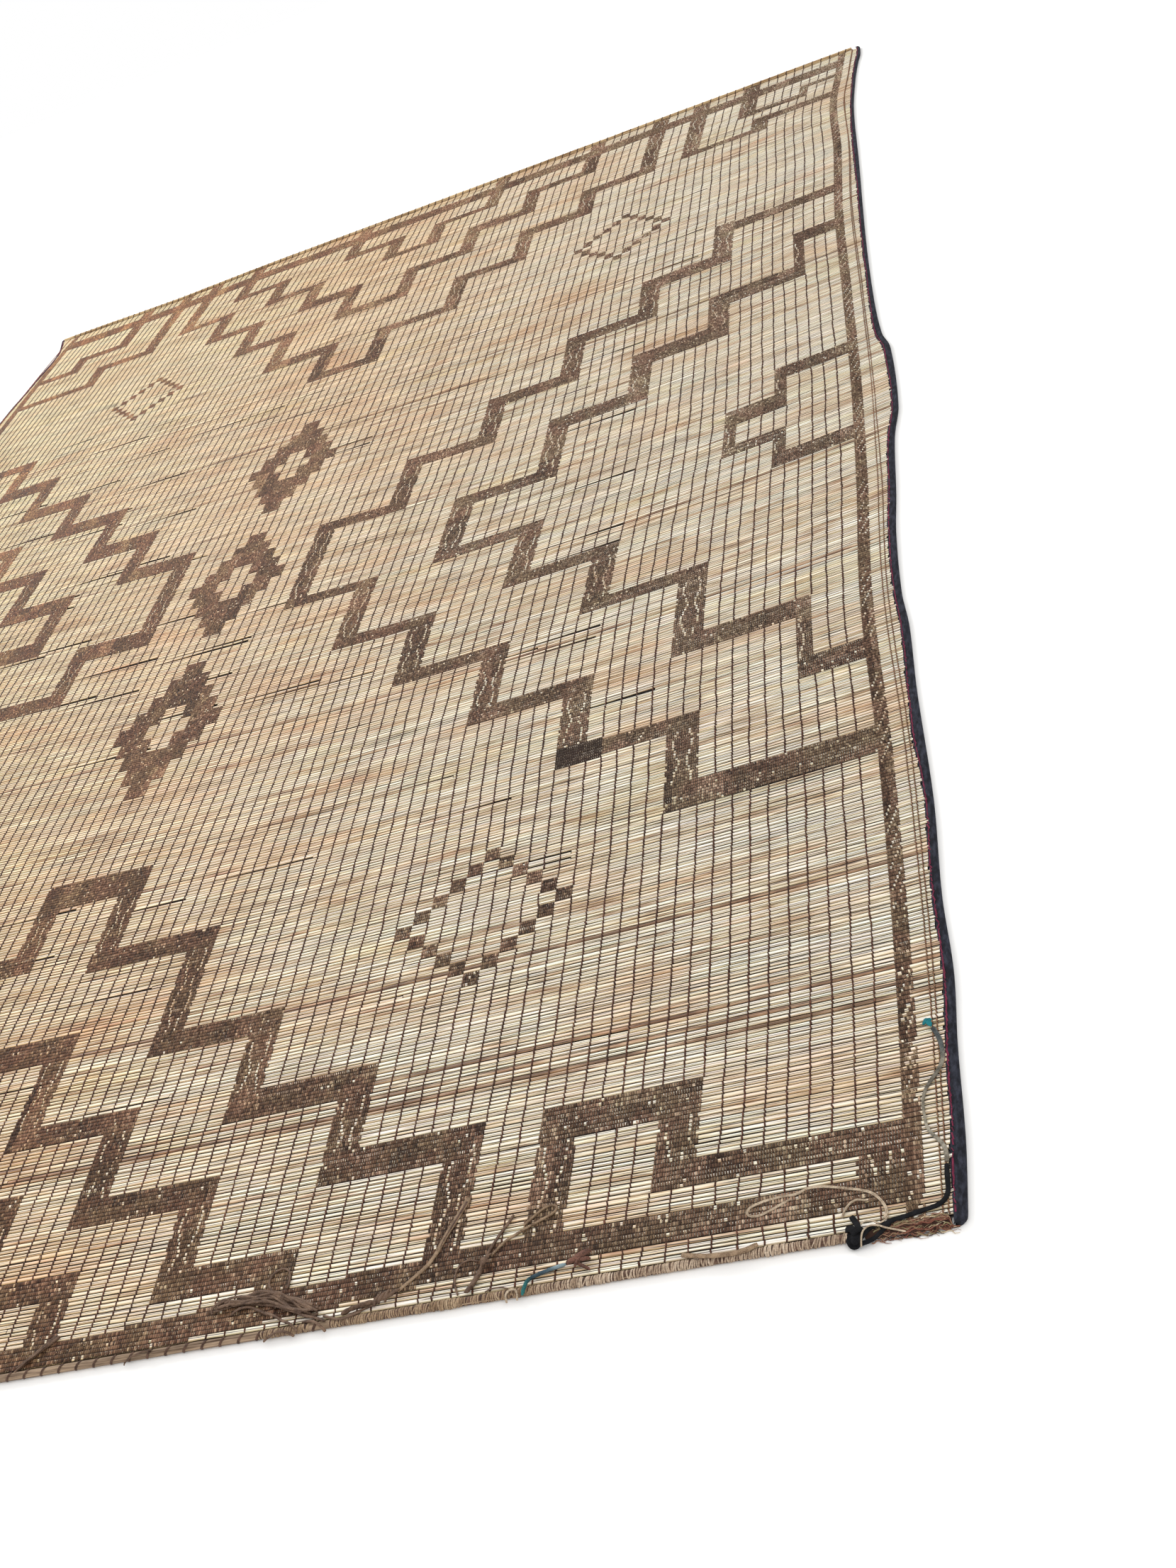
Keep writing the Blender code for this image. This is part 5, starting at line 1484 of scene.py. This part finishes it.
# Name, CAD node, finish, slot, bent strips, strands as width, thickness and places
KNOTS = (
    ("black_cloth_knot", "black_knot", black_cotton, "black_cloth", (
        (1.3775, -2.29, 0.0078, 1.2, 0.0105, 0.004, 0.012, 0.007),
    ), (
        (0.0088, 0.0026, (1.364, -2.2795, 0.01), (1.3698, -2.2805, 0.0132),
         (1.3745, -2.2865, 0.015), (1.3772, -2.2945, 0.0115), (1.3785, -2.2995, 0.006)),
        (0.0068, 0.0024, (1.3704, -2.2603, 0.0088), (1.3746, -2.2688, 0.0094),
         (1.3784, -2.2776, 0.0118), (1.3808, -2.2865, 0.0136), (1.3822, -2.2935, 0.0095)),
        (0.0064, 0.003, (1.3672, -2.286, 0.01), (1.3668, -2.2945, 0.007), (1.3702, -2.3, 0.0046),
         (1.3752, -2.3004, 0.005), (1.379, -2.2965, 0.008), (1.3822, -2.291, 0.0112)),
        (0.0094, 0.003, (1.3708, -2.286, 0.01), (1.3722, -2.293, 0.008), (1.3728, -2.2992, 0.0046)),
        (0.0062, 0.0024, (1.379, -2.2985, 0.0062), (1.3881, -2.2975, 0.0068),
         (1.3964, -2.295, 0.008), (1.404, -2.29, 0.0098), (1.41, -2.2845, 0.0106),
         (1.4145, -2.2795, 0.01)),
        (0.005, 0.0026, (1.3825, -2.294, 0.011), (1.3876, -2.288, 0.012), (1.3936, -2.2825, 0.011),
         (1.3981, -2.2812, 0.0095)),
        (0.006, 0.003, (1.3705, -2.293, 0.01), (1.3762, -2.2895, 0.0162), (1.3828, -2.2862, 0.015),
         (1.3868, -2.2852, 0.0105)),
    )),
    ("pale_strands_on_knot", None, pale_rawhide, "pale_twine", (), (
        (0.0022, 0.0014, (1.38, -2.302, 0.005), (1.3817, -2.2975, 0.0112),
         (1.3842, -2.2918, 0.0158), (1.3878, -2.285, 0.015), (1.3937, -2.2807, 0.0128),
         (1.4027, -2.2821, 0.0124), (1.4091, -2.2858, 0.0122), (1.4204, -2.2895, 0.0104),
         (1.432, -2.2915, 0.006)),
        (0.002, 0.0014, (1.3814, -2.2749, 0.0105), (1.3873, -2.2715, 0.0108),
         (1.3955, -2.2737, 0.0112), (1.4035, -2.279, 0.0128), (1.4105, -2.2756, 0.0124),
         (1.414, -2.269, 0.01)),
    )),
    ("strap_leather_knot", "strap_knot", tie_leather, "thong", (
        (0.77, -2.2655, 0.009, 0.35, 0.0145, 0.003, 0.0088, 0.0036),
        (0.7765, -2.2632, 0.0098, 1.45, 0.0085, 0.0034, 0.0048, 0.0034),
        (0.77, -2.2652, 0.0102, 1.15, 0.0085, 0.0036, 0.0044, 0.0034),
        (0.7632, -2.2672, 0.0098, 1.3, 0.008, 0.0032, 0.0044, 0.0032),
        (0.7852, -2.259, 0.009, 0.55, 0.0075, 0.0022, 0.0042, 0.003),
    ), (
        (0.0066, 0.0, (0.715, -2.278, 0.0092), (0.728, -2.274, 0.011), (0.743, -2.2708, 0.0112),
         (0.758, -2.268, 0.0106)),
        (0.003, 0.0022, (0.724, -2.2822, 0.01), (0.738, -2.2775, 0.0086), (0.752, -2.2735, 0.0086),
         (0.763, -2.27, 0.0092)),
    )),
    ("red_hide_tuft", "hide_tuft", tuft_leather, "thong", (
        (1.0245, -2.259, 0.01, 0.2, 0.0062, 0.0032, 0.008, 0.0044),
        (1.036, -2.2525, 0.01, 0.48, 0.013, 0.0034, 0.0092, 0.0034),
        (1.0375, -2.2588, 0.0094, 0.12, 0.0105, 0.003, 0.0066, 0.003),
        (1.0372, -2.266, 0.0094, -0.6, 0.015, 0.0022, 0.0046, 0.0032),
        (1.033, -2.261, 0.0112, 1.1, 0.008, 0.0026, 0.004, 0.0026),
    ), ()),
    ("thong_loop_knot", "thong_knot", tie_leather, "thong", (
        (0.9062, -2.2355, 0.0104, -0.45 + math.pi / 2, 0.0078, 0.0032, 0.0076, 0.0036),
        (0.9062, -2.2355, 0.011, -0.45, 0.0058, 0.0034, 0.006, 0.0034),
    ), (
        (0.0034, 0.0026, (0.885, -2.2775, 0.0102), (0.8925, -2.262, 0.0088),
         (0.899, -2.248, 0.0092), (0.906, -2.237, 0.011)),
        (0.0034, 0.0026, (0.9, -2.246, 0.0095), (0.907, -2.233, 0.0138), (0.9125, -2.225, 0.01)),
    )),
    ("teal_knot", "tape_knot", teal_cotton, "teal_knot", (
        (1.4762, -1.9822, 0.01, 2.08, 0.007, 0.0034, 0.007, 0.0036),
        (1.4752, -1.9812, 0.0106, 0.5, 0.0058, 0.0034, 0.0056, 0.0032),
    ), ()),
    # A cream twine loop and six small thong ends that stand out from the bundle
    ("cream_twine_loop", None, pale_rawhide, "pale_twine", (), (
        (0.0026, 0.0018, (0.942, -2.299, 0.005), (0.9426, -2.2935, 0.0122),
         (0.9472, -2.2878, 0.0136), (0.9538, -2.2878, 0.0134), (0.9572, -2.2925, 0.0122),
         (0.956, -2.2985, 0.006)),
    )),
    ("small_thong_ends", None, tie_leather, "thong", (), (
        (0.0018, 0.0014, (0.9114, -2.28, 0.0082), (0.9202, -2.2768, 0.0082),
         (0.9327, -2.2772, 0.0082), (0.9438, -2.2835, 0.0118)),
        (0.0026, 0.0018, (0.227, -2.284, 0.01), (0.24, -2.272, 0.0112), (0.254, -2.259, 0.0104),
         (0.267, -2.245, 0.01), (0.2745, -2.235, 0.0092), (0.2705, -2.2372, 0.0092),
         (0.258, -2.25, 0.0098), (0.244, -2.265, 0.0104), (0.228, -2.2785, 0.0108)),
        (0.0024, 0.0018, (0.401, -2.2985, 0.006), (0.404, -2.2975, 0.0096), (0.412, -2.293, 0.0122),
         (0.426, -2.2885, 0.0128), (0.442, -2.286, 0.0122)),
        (0.0034, 0.0022, (0.608, -2.2985, 0.007), (0.618, -2.296, 0.012), (0.63, -2.292, 0.013),
         (0.642, -2.294, 0.0124), (0.652, -2.2985, 0.008)),
        (0.0036, 0.0024, (0.66, -2.28, 0.009), (0.678, -2.285, 0.0134), (0.69, -2.293, 0.0122),
         (0.696, -2.2985, 0.007)),
        (0.0032, 0.0024, (0.688, -2.275, 0.008), (0.702, -2.283, 0.0124), (0.715, -2.288, 0.0134),
         (0.73, -2.285, 0.012), (0.742, -2.279, 0.009)),
    )),
)
for name, node, finish, slot, bends, strands in KNOTS:
    parts = [bent_strip(*bend) for bend in bends] + [strand(*row) for row in strands]
    add_piece(name, parts, finish, slot, node)

# The strap's fold, which shows along its last half, painted dark as its side in shade
path = ties["strap"][1]
path = path[len(path) // 2:-3] + (0.0012, -0.0004, 0.0011)
shaded_fold = add_piece("strap_shaded_fold", [follow(path, strip(0.001, 0.0038, 0.001, 0.1), 10)],
                 dark_lashing, "thong")

# %% [markdown]
# ### The thick lock
#
# A lock of loose thongs lies on the mat near the bundle. Its strands twist
# loosely round one route, bulge in its middle and meet again, and four longer
# strands curl out of it.

# %% The thick lock of loose thongs
LOCK_STRANDS = 18
LOCK_SPREAD, LOCK_HEIGHT = 0.01, 0.0046
LOCK_ROUTE = (
    (0.522, -2.238), (0.543, -2.231), (0.574, -2.232), (0.604, -2.238), (0.634, -2.25),
    (0.66, -2.262), (0.682, -2.268),
)
CURLS = (
    ((0.518, -2.244, 0.009), (0.517, -2.237, 0.011), (0.524, -2.23, 0.012), (0.534, -2.227, 0.013),
     (0.543, -2.231, 0.013), (0.54, -2.239, 0.012)),
    ((0.548, -2.25, 0.009), (0.56, -2.244, 0.011), (0.575, -2.245, 0.012), (0.59, -2.252, 0.011),
     (0.605, -2.26, 0.01)),
    ((0.6, -2.256, 0.01), (0.615, -2.264, 0.011), (0.63, -2.274, 0.011), (0.645, -2.283, 0.013),
     (0.656, -2.293, 0.011)),
    ((0.625, -2.246, 0.012), (0.642, -2.26, 0.012), (0.66, -2.272, 0.012), (0.678, -2.278, 0.011),
     (0.695, -2.286, 0.012)),
)
path = lay_route(LOCK_ROUTE, 0.004, 0.008, 0.0066)
share = np.linspace(0, 1, len(path))
swell = 0.25 + 0.75 * np.sin(np.pi * np.minimum(1.0, 0.1 + 0.74 * share))
across = sideways(path)
rng = np.random.default_rng(51)
strands = []
for k in range(LOCK_STRANDS):
    turn = rng.uniform(0, 6.3) + share * rng.uniform(2.5, 7.5)
    reach = rng.uniform(0.45, 1.05)
    line = path + across * (LOCK_SPREAD * swell * reach * np.cos(turn))[:, None]
    line[:, 2] += LOCK_HEIGHT * swell * reach * np.sin(turn * 1.3 + k) - 0.0012
    line = line[rng.integers(0, 9):len(line) - rng.integers(0, 7)]
    section = oval(rng.uniform(0.0012, 0.0021), rng.uniform(0.0008, 0.0012))
    strands.append(follow(line, section, 7))
strands += [strand(0.0036, 0.0022, *route) for route in CURLS]
add_piece("thong_lock", strands, tie_leather, "thong", "thong_tuft")
print("Strands in the lock:", len(strands))

# %% [markdown]
# ## The sheet of reeds
#
# The mat itself is a laid sheet, in the four panels that the script made. The
# CAD's plain field is hidden, and each panel's size is printed.

for node, width, thickness, far_end, stiffness, finish, section, route in TIES:
    tie, path, length = ties[node]
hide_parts("field")
for k, reeds in enumerate(panels):
    long = min(per_panel, count - k * per_panel) * ROW_PITCH
    print(reeds.name, "is a sheet of", MAT_WIDTH, "by", round(long, 3), "m")

# %% [markdown]
# ## Floor and light
#
# A pale floor and broad soft lights, as in a studio. The main light comes from
# the far left and above, so that every reed has a light and a dark flank.

# %% Floor and lights
FLOOR_HALF = 7.0
FLOOR_Z = -0.0005
floor_mesh = bpy.data.meshes.new("floor")
floor_mesh.from_pydata([(x * FLOOR_HALF, y * FLOOR_HALF, FLOOR_Z) for x, y in (
    (-1, -1), (1, -1), (1, 1), (-1, 1))], [], [(0, 1, 2, 3)])
floor = bpy.data.objects.new("floor", floor_mesh)
bpy.context.scene.collection.objects.link(floor)
floor_paint, tree, shader = new_finish("matt_pale_floor_paint", 0.9)
end_finish(tree, shader, "#F4F3F1")
floor_mesh.materials.append(floor_paint)

world = bpy.data.worlds.new("studio")
world.use_nodes = True
sky = world.node_tree.nodes["Background"].inputs
sky["Color"].default_value = (1.0, 1.0, 1.0, 1.0)
sky["Strength"].default_value = 1.0
bpy.context.scene.world = world


def add_light(name, at, size, power):
    """Add a square area light that looks at the middle of the mat."""
    data = bpy.data.lights.new(name, "AREA")
    data.size = size
    data.energy = power
    lamp = bpy.data.objects.new(name, data)
    lamp.location = at
    lamp.rotation_euler = (-Vector(at)).to_track_quat("-Z", "Y").to_euler()
    bpy.context.scene.collection.objects.link(lamp)


add_light("window", (-4.5, 5.5, 5.0), 3.0, 390.0)
add_light("fill", (4.0, -4.0, 5.0), 4.0, 90.0)
bpy.context.scene.view_settings.view_transform = "Standard"
